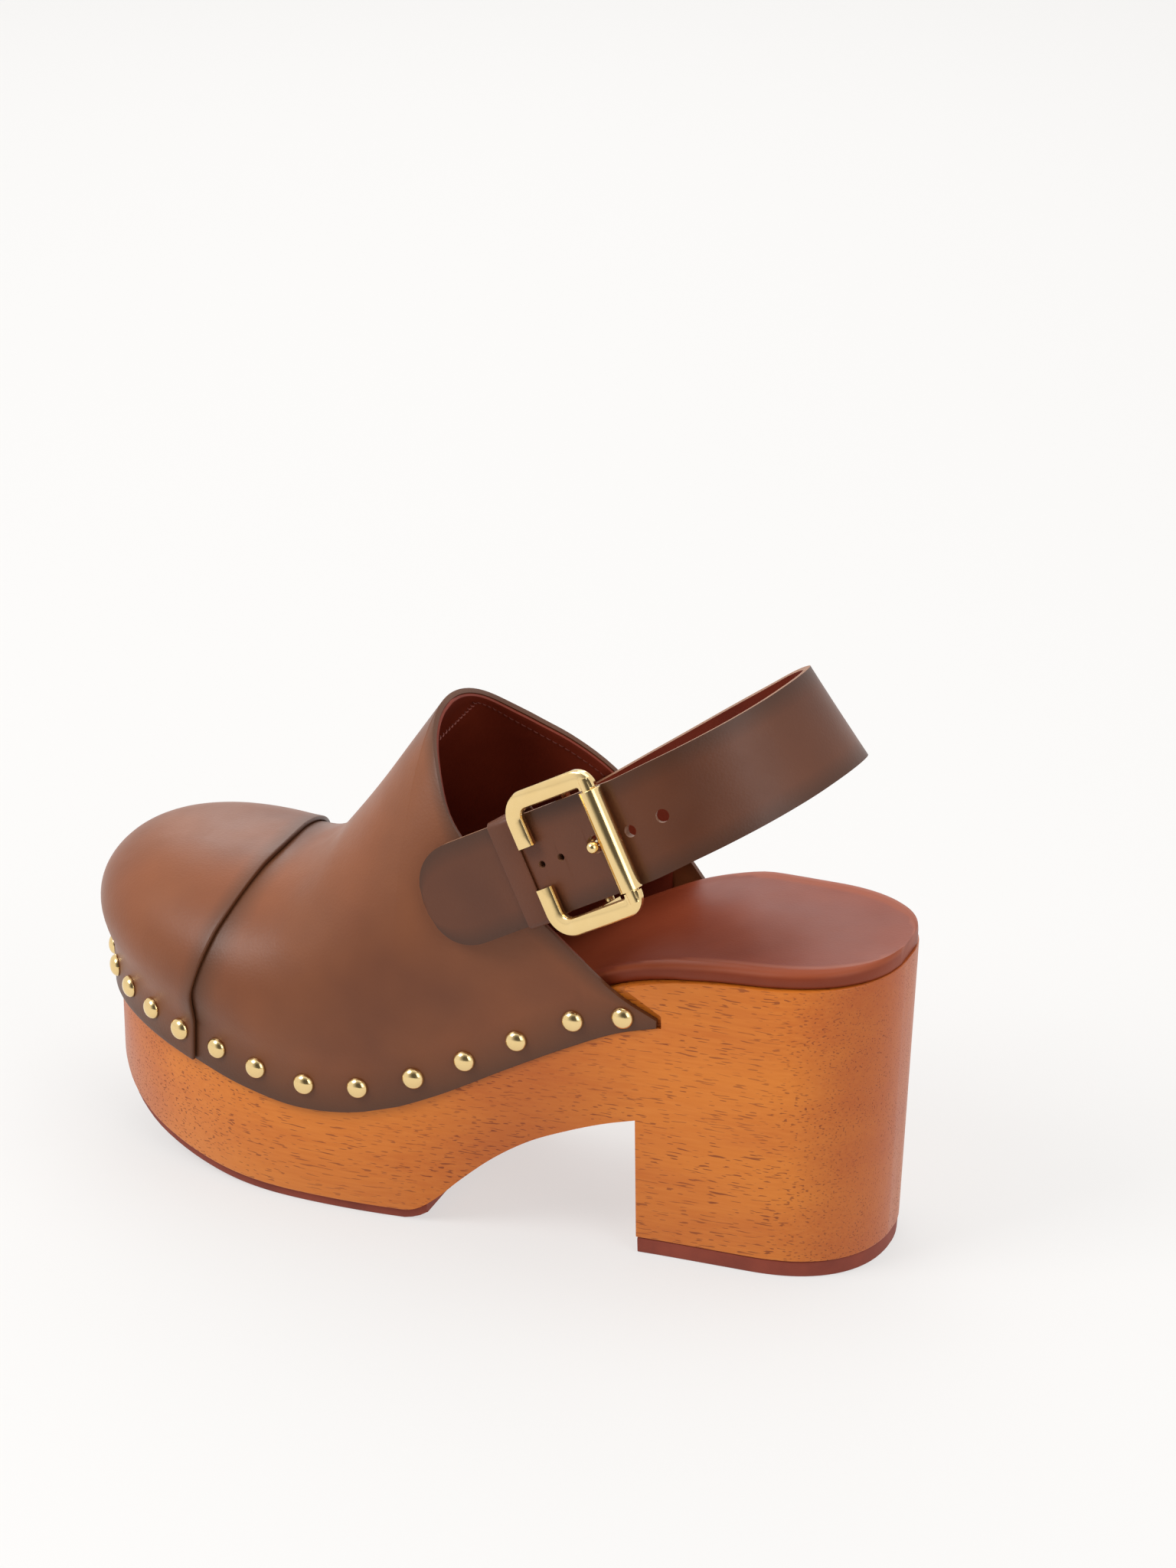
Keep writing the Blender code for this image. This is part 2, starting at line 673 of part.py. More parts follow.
def buckle_strap(collection, cutters):
    """Short strap folded round the buckle's centre bar; both ends run forward."""
    bend = []
    for k in range(9):
        a = math.radians(100 - k * 195 / 8)
        bend.append((2.2 * math.cos(a), BAR_H + 2.2 * math.sin(a)))
    strap = strap_prism("buckle_strap", thick_line(CHAPE + bend + CHAPE_RETURN, -0.62, 0.62), -13.6, 13.6, LEATHER,
                        collection)
    slot = strap_prism("cut_slot", [(-5.2, -9.5), (5, -9.5), (5, 0.4), (-5.2, 0.4)], -1.9, 1.9, CUT, cutters)
    slot.hide_render = True
    slot.display_type = "WIRE"
    boolean(strap, slot, "DIFFERENCE")
    back = [(u, h - 1.2) for u, h in CHAPE[:4]] + [(-34.8, -13.0)]
    strap_prism("buckle_strap_lining", thick_line(back, -0.35, 0.35), -13.4, 13.4, LINING, collection)


def rod(name, points, radius, steps, mat, collection):
    """Round wire through points given in the strap's directions."""
    centres = [at(*p) for p in points]
    sections = []
    for i, centre in enumerate(centres):
        ahead = (centres[min(i + 1, len(centres) - 1)] - centres[max(i - 1, 0)]).normalized()
        across = strap_axes()[1] if abs(ahead.dot(strap_axes()[1])) < 0.9 else strap_axes()[0]
        side = ahead.cross(across).normalized()
        other = ahead.cross(side)
        sections.append([centre + side * (radius * math.cos(2 * math.pi * k / steps))
                         + other * (radius * math.sin(2 * math.pi * k / steps)) for k in range(steps)])
    return new_object(name, closed_loft(name, sections), mat, collection)


def hide(obj):
    obj.hide_render = True
    obj.display_type = "WIRE"
    return obj




def buckle_frame(collection, cutters):
    """Flat frame with a split front bar, a round rear bar for the roller and a low centre bar."""
    def corner(cu, cn, radius, start, end):
        return [(cu + radius * math.cos(math.radians(a)), cn + radius * math.sin(math.radians(a)))
                for a in np.linspace(start, end, 5)]
    line = [(-13.5, 6.2)] + corner(-8, 13.6, 5.5, 180, 90) + corner(10.3, 16.1, 3.0, 90, 0) + [(13.3, 15.7), (13.3, 15.6)]
    sections = []
    for i, (u, n) in enumerate(line):
        p, q = line[max(i - 1, 0)], line[min(i + 1, len(line) - 1)]
        du, dn = q[0] - p[0], q[1] - p[1]
        size = math.hypot(du, dn)
        nu, nn = -dn / size, du / size
        h = 3.3 + 1.6 * min(max((u + 13.5) / 26.8, 0), 1) + 0.9 * math.sin(math.pi * (u + 13.5) / 26.8)
        ring = []
        for w, k in [(-2.5, -0.9), (-1.9, -1.5), (1.9, -1.5), (2.5, -0.9), (2.5, 0.8), (1.7, 1.5), (-1.7, 1.5),
                     (-2.5, 0.8)]:
            ring.append(at(u + nu * w, n + nn * w, h + k))
        sections.append(ring)
    upper = new_object("buckle_frame", closed_loft("buckle_frame", sections), BRASS, collection)
    lower_sections = []
    for ring in sections:
        mirrored = []
        for point in ring:
            away = point - Vector(BUCKLE_AT)
            along, across, out = strap_axes()
            mirrored.append(at(away.dot(along), -away.dot(across), away.dot(out)))
        lower_sections.append(mirrored)
    lower = hide(new_object("cut_frame_lower", closed_loft("cut_frame_lower", lower_sections), BRASS, cutters))
    core = hide(rod("cut_rear_bar", [(13.3, -18.5, 4.9), (13.3, 18.5, 4.9)], 2.0, 14, BRASS, cutters))
    centre = hide(rod("cut_centre_bar", [(0, -18, BAR_H), (0, 18, BAR_H)], 1.3, 12, BRASS, cutters))
    ears = []
    for side in (-1, 1):
        n0, n1 = sorted((15.75 * side, 18.9 * side))
        ears.append(hide(strap_prism("cut_ear_%d" % (side + 2), [(-2.4, -5.9), (2.4, -5.9), (2.1, 4.6), (-2.1, 4.6)],
                                     n0, n1, BRASS, cutters)))
    for piece in (lower, core, *ears, centre):
        boolean(upper, piece, "UNION")
    return upper


def roller(collection, cutters):
    tube = rod("buckle_roller", [(13.3, -15.0, 4.9), (13.3, 15.0, 4.9)], 3.3, 20, BRASS, collection)
    bore = hide(rod("cut_roller", [(13.3, -18, 4.9), (13.3, 18, 4.9)], 2.3, 20, BRASS, cutters))
    boolean(tube, bore, "DIFFERENCE")


def prong(collection, cutters):
    """Prong: an eye round the centre bar, an arm through the strap and a round tip on the roller."""
    eye = rod("buckle_prong", [(0, -1.3, BAR_H), (0, 1.3, BAR_H)], 2.75, 16, BRASS, collection)
    arm = hide(rod("cut_prong_arm", [(1.7, 0, -4.5), (3.6, 0, -3.5), (5.2, 0, -1.6), (6.2, 0, 0.7), (7.2, 0, 3.8),
                                     (8.5, 0, 7.0)], 1.1, 10, BRASS, cutters))
    ball = hide(lathe("cut_prong_tip", [(0, -1.75), (0.9, -1.5), (1.52, -0.87), (1.75, 0), (1.52, 0.87), (0.9, 1.5),
                                        (0, 1.75)], at(8.7, 0, 7.45), strap_axes()[1], BRASS, cutters, 12))
    bore = hide(rod("cut_prong_eye", [(0, -4, BAR_H), (0, 4, BAR_H)], 1.45, 16, BRASS, cutters))
    boolean(eye, arm, "UNION")
    boolean(eye, ball, "UNION")
    boolean(eye, bore, "DIFFERENCE")


def keeper(collection, cutters):
    """Leather loop that holds the tail against the buckle strap."""
    loop = strap_prism("keeper_loop", [(-24.2, -13.0), (-16.7, -13.0), (-16.7, 2.6), (-24.2, 2.6)], -16.35, 16.35,
                       LEATHER, collection)
    space = hide(strap_prism("cut_keeper", [(-30, -12.0), (-12, -12.0), (-12, 1.5), (-30, 1.5)], -15.35, 15.35, CUT,
                             cutters))
    boolean(loop, space, "DIFFERENCE")


# ---------------------------------------------------------------------------------------------
# The whole clog.

for old in list(bpy.data.objects):
    bpy.data.objects.remove(old, do_unlink=True)
clog = bpy.data.collections.new("wooden_clog")
cut = bpy.data.collections.new("cutters")
bpy.context.scene.collection.children.link(clog)
bpy.context.scene.collection.children.link(cut)

WOOD = material("wood", (0.45, 0.16, 0.04), 0.45)
RUBBER = material("rubber", (0.13, 0.04, 0.025), 0.75)
FOOTBED = material("footbed_leather", (0.24, 0.06, 0.025), 0.45)
LEATHER = material("upper_leather", (0.12, 0.06, 0.03), 0.5)
LINING = material("lining_leather", (0.2, 0.035, 0.015), 0.6)
BOARD = material("insole_board", (0.35, 0.25, 0.16), 0.9)
FOAM = material("foam_pad", (0.6, 0.55, 0.45), 0.95)
BRASS = material("brass", (0.8, 0.6, 0.28), 0.22, 1.0)
CUT = material("cutter", (0.5, 0.5, 0.5), 0.5)

stud_holes(cut)
wooden_sole(clog, cut)
forefoot_tread(clog)
heel_tip(clog)
footbed_cover(clog, cut)
footbed_layer("footbed_board", 0.3, 1.6, 2.0, BOARD, clog, 0.3)
footbed_layer("footbed_pad", 1.85, 3.85, 2.0, FOAM, clog, 0.8)
upper_pieces(clog)
studs(clog)
sling(clog, cut)
buckle_strap(clog, cut)
buckle_frame(clog, cut)
roller(clog, cut)
prong(clog, cut)
keeper(clog, cut)

for obj in list(clog.objects) + list(cut.objects):
    obj.data.transform(Matrix.Translation(CENTRE_MOVE * MM))
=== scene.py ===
import math

import bmesh
import bpy
import numpy as np
from mathutils import Matrix, Vector


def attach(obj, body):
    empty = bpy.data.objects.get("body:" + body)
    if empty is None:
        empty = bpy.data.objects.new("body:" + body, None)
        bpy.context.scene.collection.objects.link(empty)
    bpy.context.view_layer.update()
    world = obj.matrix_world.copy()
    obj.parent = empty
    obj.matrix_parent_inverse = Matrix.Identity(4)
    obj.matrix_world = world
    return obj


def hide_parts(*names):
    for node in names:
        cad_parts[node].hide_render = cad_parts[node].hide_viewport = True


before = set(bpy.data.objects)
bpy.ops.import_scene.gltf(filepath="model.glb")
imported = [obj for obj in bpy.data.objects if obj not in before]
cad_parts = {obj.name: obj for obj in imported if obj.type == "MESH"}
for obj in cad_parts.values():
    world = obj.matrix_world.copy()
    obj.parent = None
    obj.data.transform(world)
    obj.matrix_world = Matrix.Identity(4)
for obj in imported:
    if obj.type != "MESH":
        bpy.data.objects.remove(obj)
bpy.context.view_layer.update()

scene = bpy.context.scene

# ---------------------------------------------------------------------------------------------
# Wooden sole: one carved block of an open-pored hardwood, platform, arch and heel in one piece, stained
# amber and lacquered. The stain is redder on the end grain at the toe and at the back of the heel, and the
# same redder colour is laid around the waist as painted shade. The leather sits in a shallow rebate.

# Sizes are in millimetres; CENTRE_MOVE puts the middle of the whole clog at x = 0, y = 0.
MM = 0.001
CENTRE_MOVE = Vector((7.186, 1.623, 0.0))


def add_object(name, bm_or_mesh, mat, angle=35):
    mesh = bm_or_mesh
    if isinstance(bm_or_mesh, bmesh.types.BMesh):
        mesh = bpy.data.meshes.new(name)
        bm_or_mesh.to_mesh(mesh)
        bm_or_mesh.free()
    mesh.transform(Matrix.Translation(CENTRE_MOVE * MM))
    obj = bpy.data.objects.new(name, mesh)
    mesh.materials.append(mat)
    scene.collection.objects.link(obj)
    smooth(obj, angle)
    return obj


def smooth(obj, angle):
    obj.data.shade_smooth()
    obj.data.set_sharp_from_angle(angle=math.radians(angle))


def bake(obj):
    """Turns an object's modifiers into plain mesh."""
    bpy.context.view_layer.update()
    mesh = bpy.data.meshes.new_from_object(obj.evaluated_get(bpy.context.evaluated_depsgraph_get()))
    obj.modifiers.clear()
    obj.data = mesh
    return obj


def cut(obj, *tools, operation="DIFFERENCE"):
    """Cuts the tools out of obj, or joins them to it, and throws them away."""
    for tool in tools:
        mod = obj.modifiers.new("cut", "BOOLEAN")
        mod.object = tool
        mod.operation = operation
        mod.solver = "EXACT"
    bake(obj)
    for tool in tools:
        bpy.data.objects.remove(tool, do_unlink=True)


def bevel(obj, width, segments=2, angle=40):
    mod = obj.modifiers.new("bevel", "BEVEL")
    mod.width = width * MM
    mod.segments = segments
    mod.limit_method = "ANGLE"
    mod.angle_limit = math.radians(angle)
    mod.harden_normals = False
    bake(obj)


def loft(sections):
    """Closed sections with the same number of points, joined into a skin."""
    bm = bmesh.new()
    rings = [[bm.verts.new([float(c) * MM for c in p]) for p in ring] for ring in sections]
    for low, high in zip(rings, rings[1:]):
        for i in range(len(low)):
            j = (i + 1) % len(low)
            bm.faces.new((low[i], low[j], high[j], high[i]))
    bm.faces.new(rings[0][::-1])
    bm.faces.new(rings[-1])
    bmesh.ops.recalc_face_normals(bm, faces=bm.faces)
    return bm


def prism(near, far):
    """Solid between two copies of an outline."""
    return loft([near, far])


class Value:
    """One socket of a shader; + - and * make Math nodes."""

    def __init__(self, tree, socket):
        self.tree, self.socket = tree, socket

    def node(self, kind, settings, inputs, output=0):
        made = self.tree.nodes.new(kind)
        for key, value in settings.items():
            setattr(made, key, value)
        for key, value in inputs.items():
            if isinstance(value, Value):
                self.tree.links.new(value.socket, made.inputs[key])
            else:
                made.inputs[key].default_value = value
        return Value(self.tree, made.outputs[output])

    def math(self, operation, a, b):
        return self.node("ShaderNodeMath", {"operation": operation}, {0: a, 1: b})

    def __add__(self, other):
        return self.math("ADD", self, other)

    def __sub__(self, other):
        return self.math("SUBTRACT", self, other)

    def __rsub__(self, other):
        return self.math("SUBTRACT", other, self)

    def __mul__(self, other):
        return self.math("MULTIPLY", self, other)

    __radd__ = __add__
    __rmul__ = __mul__

    def ramp(self, low, high):
        """0 below low, 1 above high."""
        return self.node("ShaderNodeMapRange", {"clamp": True}, {0: self, 1: low, 2: high, 3: 0.0, 4: 1.0})

    def stretched(self, x, y, z):
        return self.node("ShaderNodeVectorMath", {"operation": "MULTIPLY"}, {0: self, 1: (x, y, z)})

    def noise(self, scale, detail=3.0, rough=0.55):
        return self.node("ShaderNodeTexNoise", {}, {"Vector": self, "Scale": scale, "Detail": detail,
                                                    "Roughness": rough})

    def cells(self, scale):
        return self.node("ShaderNodeTexVoronoi", {}, {"Vector": self, "Scale": scale})


def mixed(share, a, b):
    """Colour between a and b."""
    return share.node("ShaderNodeMix", {"data_type": "RGBA"}, {0: share, 6: a, 7: b}, output=2)


def srgb(r, g, b):
    """Linear colour from 0-255 display values."""
    return tuple((c / 255 / 12.92) if c / 255 <= 0.04045 else ((c / 255 + 0.055) / 1.055) ** 2.4
                 for c in (r, g, b)) + (1.0,)


def new_material(name, **constants):
    mat = bpy.data.materials.new(name)
    mat.use_nodes = True
    tree = mat.node_tree
    shader = tree.nodes["Principled BSDF"]
    for key, value in constants.items():
        shader.inputs[key.replace("_", " ")].default_value = value
    coords = Value(tree, tree.nodes.new("ShaderNodeTexCoord").outputs["Object"])

    def plug(input_name, value):
        tree.links.new(value.socket, shader.inputs[input_name])
    return mat, coords, plug


def bumped(height, strength, distance):
    return height.node("ShaderNodeBump", {}, {"Strength": strength, "Distance": distance, "Height": height})


def attribute(coords, name):
    return coords.node("ShaderNodeAttribute", {"attribute_name": name}, {}, output=2)


# The plan outline and the side profiles, as pairs of x and a width or height, from the toe to the heel.
TOE_X = -129.0
HEEL_X = 120.0
BREAST_X = 50.0
OUTER_WIDTH = [(-129, 43.5), (-90, 43.8), (-50, 44.5), (-25, 43.5), (0, 40.5), (25, 37.5), (50, 35),
               (75, 34), (120, 33)]
INNER_WIDTH = [(-129, 35.5), (-90, 41), (-60, 43.5), (-25, 39), (0, 35.5), (25, 34.5), (50, 34.5),
               (62, 33.6), (75, 31.5), (95, 29.5), (120, 28.5)]
CENTRE_LINE = [(-129, 9), (-95, 5), (-60, 0), (0, 0), (120, 1)]
WOOD_TOP = [(-129, 56.5), (-110, 54), (-83, 51), (-50, 47.5), (-22, 51), (0, 60), (15, 69), (30, 78),
            (45, 85.5), (60, 90), (90, 93), (120, 94)]
WOOD_BOTTOM = [(-129, 30), (-127, 24.5), (-121, 17.5), (-110, 11.5), (-96, 7.4), (-80, 4.6), (-62, 3.4),
               (-50, 3.4), (-20, 3.4)]
ARCH = [(-23, 2.8), (-20, 3.3), (-15, 4.9), (-9, 9.5), (-3, 15.5), (7, 24.5), (18, 32), (30, 37.5),
        (41, 41.5), (50, 44)]
UPPER_EDGE = [(-129, 45), (-112, 43.5), (-95, 41), (-83, 39.1), (-68, 36.3), (-50, 34), (-33, 35.5),
              (-22, 38.5), (-8, 44.5), (13, 56), (30, 65), (45, 72), (57, 75.5)]

slopes = {}


def table(points, x):
    """Smooth curve through the points of a table."""
    if id(points) not in slopes:
        xs = [float(p[0]) for p in points]
        vs = [float(p[1]) for p in points]
        slopes[id(points)] = (xs, vs, [float(v) for v in np.gradient(vs, xs)])
    xs, vs, gradient = slopes[id(points)]
    x = min(max(float(x), xs[0]), xs[-1])
    i = 0
    while i < len(xs) - 2 and x > xs[i + 1]:
        i += 1
    span = xs[i + 1] - xs[i]
    t = (x - xs[i]) / span
    start = (1 + 2 * t) * (1 - t) ** 2 * vs[i] + t * (1 - t) ** 2 * span * gradient[i]
    return start + t * t * (3 - 2 * t) * vs[i + 1] + t * t * (t - 1) * span * gradient[i + 1]


def round_end(distance, radius, power):
    t = min(max(1 - distance / radius, 0.0), 1.0)
    return (1 - t ** power) ** (1 / power)


def plan(x, side, inset=0.0):
    """Y of the plan outline; side -1 is the outer side of the foot."""
    width = table(OUTER_WIDTH if side < 0 else INNER_WIDTH, x)
    toe_round = 62.0 if side < 0 else 46.0
    toe = round_end(x - (TOE_X + inset), toe_round - inset, 2.1)
    heel = round_end(HEEL_X - inset - x, 36.0 - inset, 2.4)
    return table(CENTRE_LINE, x) + side * (width - inset) * toe * heel


def stations(start, end, round_start, round_finish, count):
    places = []
    for i in range(count):
        a = i / (count - 1)
        warped = a
        if round_start and a < 0.35:
            warped = 0.35 * (1 - math.cos(a / 0.35 * math.pi / 2))
        if round_finish and a > 0.7:
            warped = 1 - 0.3 * (1 - math.cos((1 - a) / 0.3 * math.pi / 2))
        places.append(start + (end - start) * warped)
    return places


def slab(xs, bottom, top, inset, corner, steps=4, across=8):
    """Sections of a slab that follows the plan outline, with rounded upper and lower edges."""
    sections = []
    for x in xs:
        y0, y1 = plan(x, -1, inset), plan(x, 1, inset)
        z0, z1 = bottom(x), top(x)
        r = min(corner, (y1 - y0) * 0.45, (z1 - z0) * 0.45)
        ring = []
        corners = ((y1 - r, z0 + r, -90), (y1 - r, z1 - r, 0), (y0 + r, z1 - r, 90), (y0 + r, z0 + r, 180))
        for cy, cz, start in corners:
            for k in range(steps + 1):
                a = math.radians(start + 90 * k / steps)
                ring.append((x, cy + r * math.cos(a), cz + r * math.sin(a)))
            if start in (0, 180):
                last, nxt = ring[-1], (y0 + r if start == 0 else y1 - r)
                for k in range(1, across):
                    ring.append((x, last[1] + (nxt - last[1]) * k / across, last[2]))
        sections.append(ring)
    return sections


def draw_in(mesh):
    """The wood's sides draw in a little towards the floor, the heel more at its back."""
    for vert in mesh.vertices:
        x, y, z = (c / MM for c in vert.co)
        low = max(0.0, 1 - z / 60.0)
        vert.co.y = (y * (1 - 0.085 * low ** 1.3)) * MM
        if x > BREAST_X + 5:
            vert.co.x = (x - (x - BREAST_X) * 0.055 * low) * MM


def drawn_in_object(name, bm, mat):
    mesh = bpy.data.meshes.new(name)
    bm.to_mesh(mesh)
    bm.free()
    draw_in(mesh)
    return add_object(name, mesh, mat)


wood, coords, plug = new_material("stained wood", Specular_IOR_Level=0.3, Coat_Weight=0.12,
                                  Coat_Roughness=0.25)
figure = coords.stretched(9, 60, 60).noise(1.0, 4.0)
rays = coords.stretched(60, 1100, 1100).noise(1.0, 3.0)
pore_field = coords.stretched(230, 2300, 2300).noise(1.0, 0.0)
pore_areas = coords.stretched(20, 60, 60).noise(1.0, 2.0).ramp(0.3, 0.6)
pores = pore_field.ramp(0.665, 0.71) * (pore_areas * 0.6 + 0.4)
end_grain_and_shade = attribute(coords, "end_grain_and_waist_shade")
base = mixed(figure.ramp(0.3, 0.7), srgb(208, 118, 34), srgb(190, 97, 27))
base = mixed(rays.ramp(0.35, 0.75) * 0.35, base, srgb(220, 134, 52))
# Redder stain on the end grain at the toe and the heel's back, and painted shade: the waist is darkened with
# the same colour.
base = mixed(end_grain_and_shade * 0.6, base, srgb(142, 56, 26))
base = mixed(pores * 0.7, base, srgb(104, 38, 16))
plug("Base Color", base)
plug("Roughness", pores * 0.2 + 0.38)
plug("Normal", bumped(rays * 0.3 - pores, 0.3, 0.00015))


def wood_bottom(x):
    return 5.2 if x > 0 else table(WOOD_BOTTOM, x)


sole_places = stations(TOE_X + 0.1, HEEL_X - 0.1, True, True, 110)
sole = drawn_in_object("wooden_sole", loft(slab(
    sole_places, wood_bottom, lambda x: table(WOOD_TOP, x), 0.0, 0.5, 2, 4)), wood)
arch = [(x, table(ARCH, x)) for x in np.linspace(-23, BREAST_X, 60)]
arch = [(-23.0, -6.0)] + arch + [(BREAST_X, -6.0)]
arch_tool = add_object("arch", prism([(x, -70, z) for x, z in arch], [(x, 70, z) for x, z in arch]), wood)
edge = [(x, table(UPPER_EDGE, x) - 0.35) for x in np.linspace(TOE_X, 57, 90)]
band = [(-140.0, 44.65)] + edge + [(58.0, 75.1), (58.0, 79.0), (46.0, 87.0), (20.0, 110.0), (-140.0, 110.0)]
rebate = add_object("rebate", prism([(x, -70, z) for x, z in band], [(x, 70, z) for x, z in band]), wood)
core = add_object("core", loft(slab(
    stations(TOE_X + 2.02, 80, True, False, 80), lambda x: -20, lambda x: 130, 2.0, 0.1, 1, 2)), wood)
cut(rebate, core)
cut(sole, arch_tool, rebate)
bevel(sole, 0.8, 3, 38)
smooth(sole, 40)
end_grain_and_shade_of = sole.data.attributes.new("end_grain_and_waist_shade", "FLOAT", "POINT")
for vert, value in zip(sole.data.vertices, end_grain_and_shade_of.data):
    x = vert.co.x / MM - CENTRE_MOVE.x
    # Painted shade: the wood around the waist is darkened where its sides turn in.
    waist_shade = 0.7 * math.exp(-((x - 16) / 26) ** 2)
    value.value = max(min((-95 - x) / 28, 1), min((x - 96) / 22, 1), waist_shade, 0)
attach(sole, "clog")
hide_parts("wooden_sole")

# ---------------------------------------------------------------------------------------------
# Forefoot tread: a thin sheet of matte red-brown rubber that follows the toe's rocker and ends where the
# arch rises.

rubber, coords, plug = new_material("rubber", Roughness=0.62, Specular_IOR_Level=0.3)
grime = coords.noise(90, 4.0)
plug("Base Color", mixed(grime.ramp(0.3, 0.7), srgb(138, 62, 44), srgb(120, 52, 38)))
plug("Normal", bumped(coords.noise(1500, 2.0), 0.25, 0.0001))


def tread_line(x):
    return table(WOOD_BOTTOM, x) if x < -20 else table(ARCH, x)


tread = drawn_in_object("forefoot_tread", loft(slab(
    stations(TOE_X + 2.6, -13, True, False, 50), lambda x: max(tread_line(x) - 3.4, 0.0),
    lambda x: tread_line(x) - 0.1, 1.4, 0.7, 3, 6)), rubber)
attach(tread, "clog")
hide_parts("forefoot_tread")

# ---------------------------------------------------------------------------------------------
# Heel tip: a thicker piece of the same rubber under the whole heel, almost flush with the wood and flat on
# the floor.

tip = drawn_in_object("heel_tip", loft(slab(
    stations(BREAST_X + 0.3, HEEL_X - 0.3, False, True, 50),
    lambda x: 0.0, lambda x: 5.1, 0.25, 0.7, 3, 6)), rubber)
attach(tip, "clog")
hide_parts("heel_tip")

# ---------------------------------------------------------------------------------------------
# Footbed: cognac leather pulled over a foam pad and a fibre board, with a soft rolled rim and a faint
# crease where the pad ends. The top of the rim is painted lighter as a painted highlight.

footbed_leather, coords, plug = new_material("footbed leather", Specular_IOR_Level=0.22)
tint = coords.noise(28, 4.0).ramp(0.3, 0.72)
rim_highlight = attribute(coords, "rim_highlight")
colour = mixed(tint, srgb(118, 48, 26), srgb(134, 60, 34))
# Painted highlight: the top of the rolled rim is painted lighter.
colour = mixed(rim_highlight * 0.5, colour, srgb(158, 80, 48))
plug("Base Color", colour)
grain = coords.cells(1500) * 0.6 + coords.noise(500, 3.0) * 0.5
plug("Roughness", coords.noise(60, 3.0) * 0.16 + 0.36)
plug("Normal", bumped(grain, 0.22, 0.00012))


def footbed_inset(x):
    return float(np.interp(x, [40, 66], [4.6, 0.3]))


def footbed_sections(count):
    sections = []
    for ring_x in stations(TOE_X + 5, HEEL_X - 0.7, True, True, count):
        gap = footbed_inset(ring_x)
        y0, y1 = plan(ring_x, -1, gap), plan(ring_x, 1, gap)
        z0 = table(WOOD_TOP, ring_x)
        half, middle = (y1 - y0) / 2, (y1 + y0) / 2
        profile = [(-1.9, 0.15), (-1.1, 0.2), (-0.4, 0.8), (-0.1, 1.6), (0.0, 2.5), (-0.15, 3.5),
                   (-0.6, 4.4), (-1.4, 5.1), (-2.5, 5.45), (-3.7, 5.4), (-4.9, 5.15), (-6.5, 5.05),
                   (-10.0, 4.95), (-16, 4.85), (-23, 4.8)]
        right = []
        for off, high in profile:
            right.append((ring_x, middle + max(half + off * min(1, half / 24), 0.3), z0 + high))
        left = [(x, 2 * middle - y, z) for x, y, z in right]
        sections.append(right + [(ring_x, middle, z0 + 4.8)] + left[::-1] + [(ring_x, middle, z0 + 0.1)])
    return sections


footbed = add_object("footbed", loft(footbed_sections(120)), footbed_leather, 50)
# Marks the top of the rolled rim for its painted highlight.
rim_highlight_of = footbed.data.attributes.new("rim_highlight", "FLOAT", "POINT")
for vert, value in zip(footbed.data.vertices, rim_highlight_of.data):
    x, y, z = vert.co / MM - CENTRE_MOVE
    height = z - table(WOOD_TOP, x)
    side = 1 if y > 0 else -1
    near_edge = plan(x, side) * side - abs(y) < 5.5
    value.value = 1.0 if 4.2 < height < 5.6 and near_edge else 0.0
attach(footbed, "clog")
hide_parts("footbed_cover", "footbed_pad", "footbed_board")

# ---------------------------------------------------------------------------------------------
# Vamp: the front of the upper and both quarters in one hand-tinted hide, nailed to the wood along its lower
# edge. The tint is darker along the cut edges and warm in broad random patches.

VAMP_LAYER = (0.0, 1.6)


def leather_material(name, dark, light, warm, edge_colour):
    mat, coords, plug = new_material(name, Specular_IOR_Level=0.32, Coat_Weight=0.1, Coat_Roughness=0.36)
    clouds = coords.noise(17, 3.0).ramp(0.32, 0.68)
    small = coords.noise(70, 4.0).ramp(0.3, 0.7)
    colour = mixed(clouds, dark, light)
    colour = mixed(coords.stretched(1.3, 1, 0.8).noise(11, 2.0).ramp(0.42, 0.72) * 0.7, colour, warm)
    colour = mixed(small * 0.18, colour, dark)
    colour = mixed(attribute(coords, "edge") * 0.8, colour, edge_colour)
    plug("Base Color", colour)
    pebble = coords.cells(1250) * 0.75 + coords.noise(420, 4.0) * 0.6
    plug("Roughness", small * 0.1 + 0.38)
    plug("Normal", bumped(pebble, 0.28, 0.00014))
    return mat


leather = leather_material("upper leather", srgb(102, 54, 28), srgb(134, 77, 42), srgb(146, 78, 38),
                           srgb(66, 40, 23))

# The surface the leathers follow: where it starts, the crest over the foot and the edges it is cut to.
TIP_X = TOE_X + 1.45
SPINE_FRONT_X = -99.0
THROAT_X = -20.0
BAND_HEIGHT = 13.0
BAND_SHARE = 0.16
CREST = [(-99, 89.5), (-88, 90.2), (-78, 91), (-66, 93.5), (-55, 100.5), (-46, 111.5), (-38, 122.5),
         (-29, 136), (-20, 149.5), (0, 163), (20, 172), (60, 180)]
OUTER_TOPLINE = [(-20, 149.5), (-14, 140.5), (-8, 130), (0, 121.5), (10, 113.5), (23, 104), (34, 94),
                 (45, 84), (57, 77.5)]
INNER_TOPLINE = [(-20, 149.5), (-12, 141), (-4, 135.5), (6, 129.5), (18, 120), (30, 106), (39, 96), (47, 86),
                 (57, 77.5)]
CAP_SEAM = [(35, -85), (60, -84), (80, -78.5), (92, -74), (98, -68)]


def straight(points, x):
    return float(np.interp(x, [p[0] for p in points], [p[1] for p in points]))


def upper_base(x, side):
    x = max(x, TIP_X)
    return (x, plan(x, side, 1.45), table(UPPER_EDGE, x))


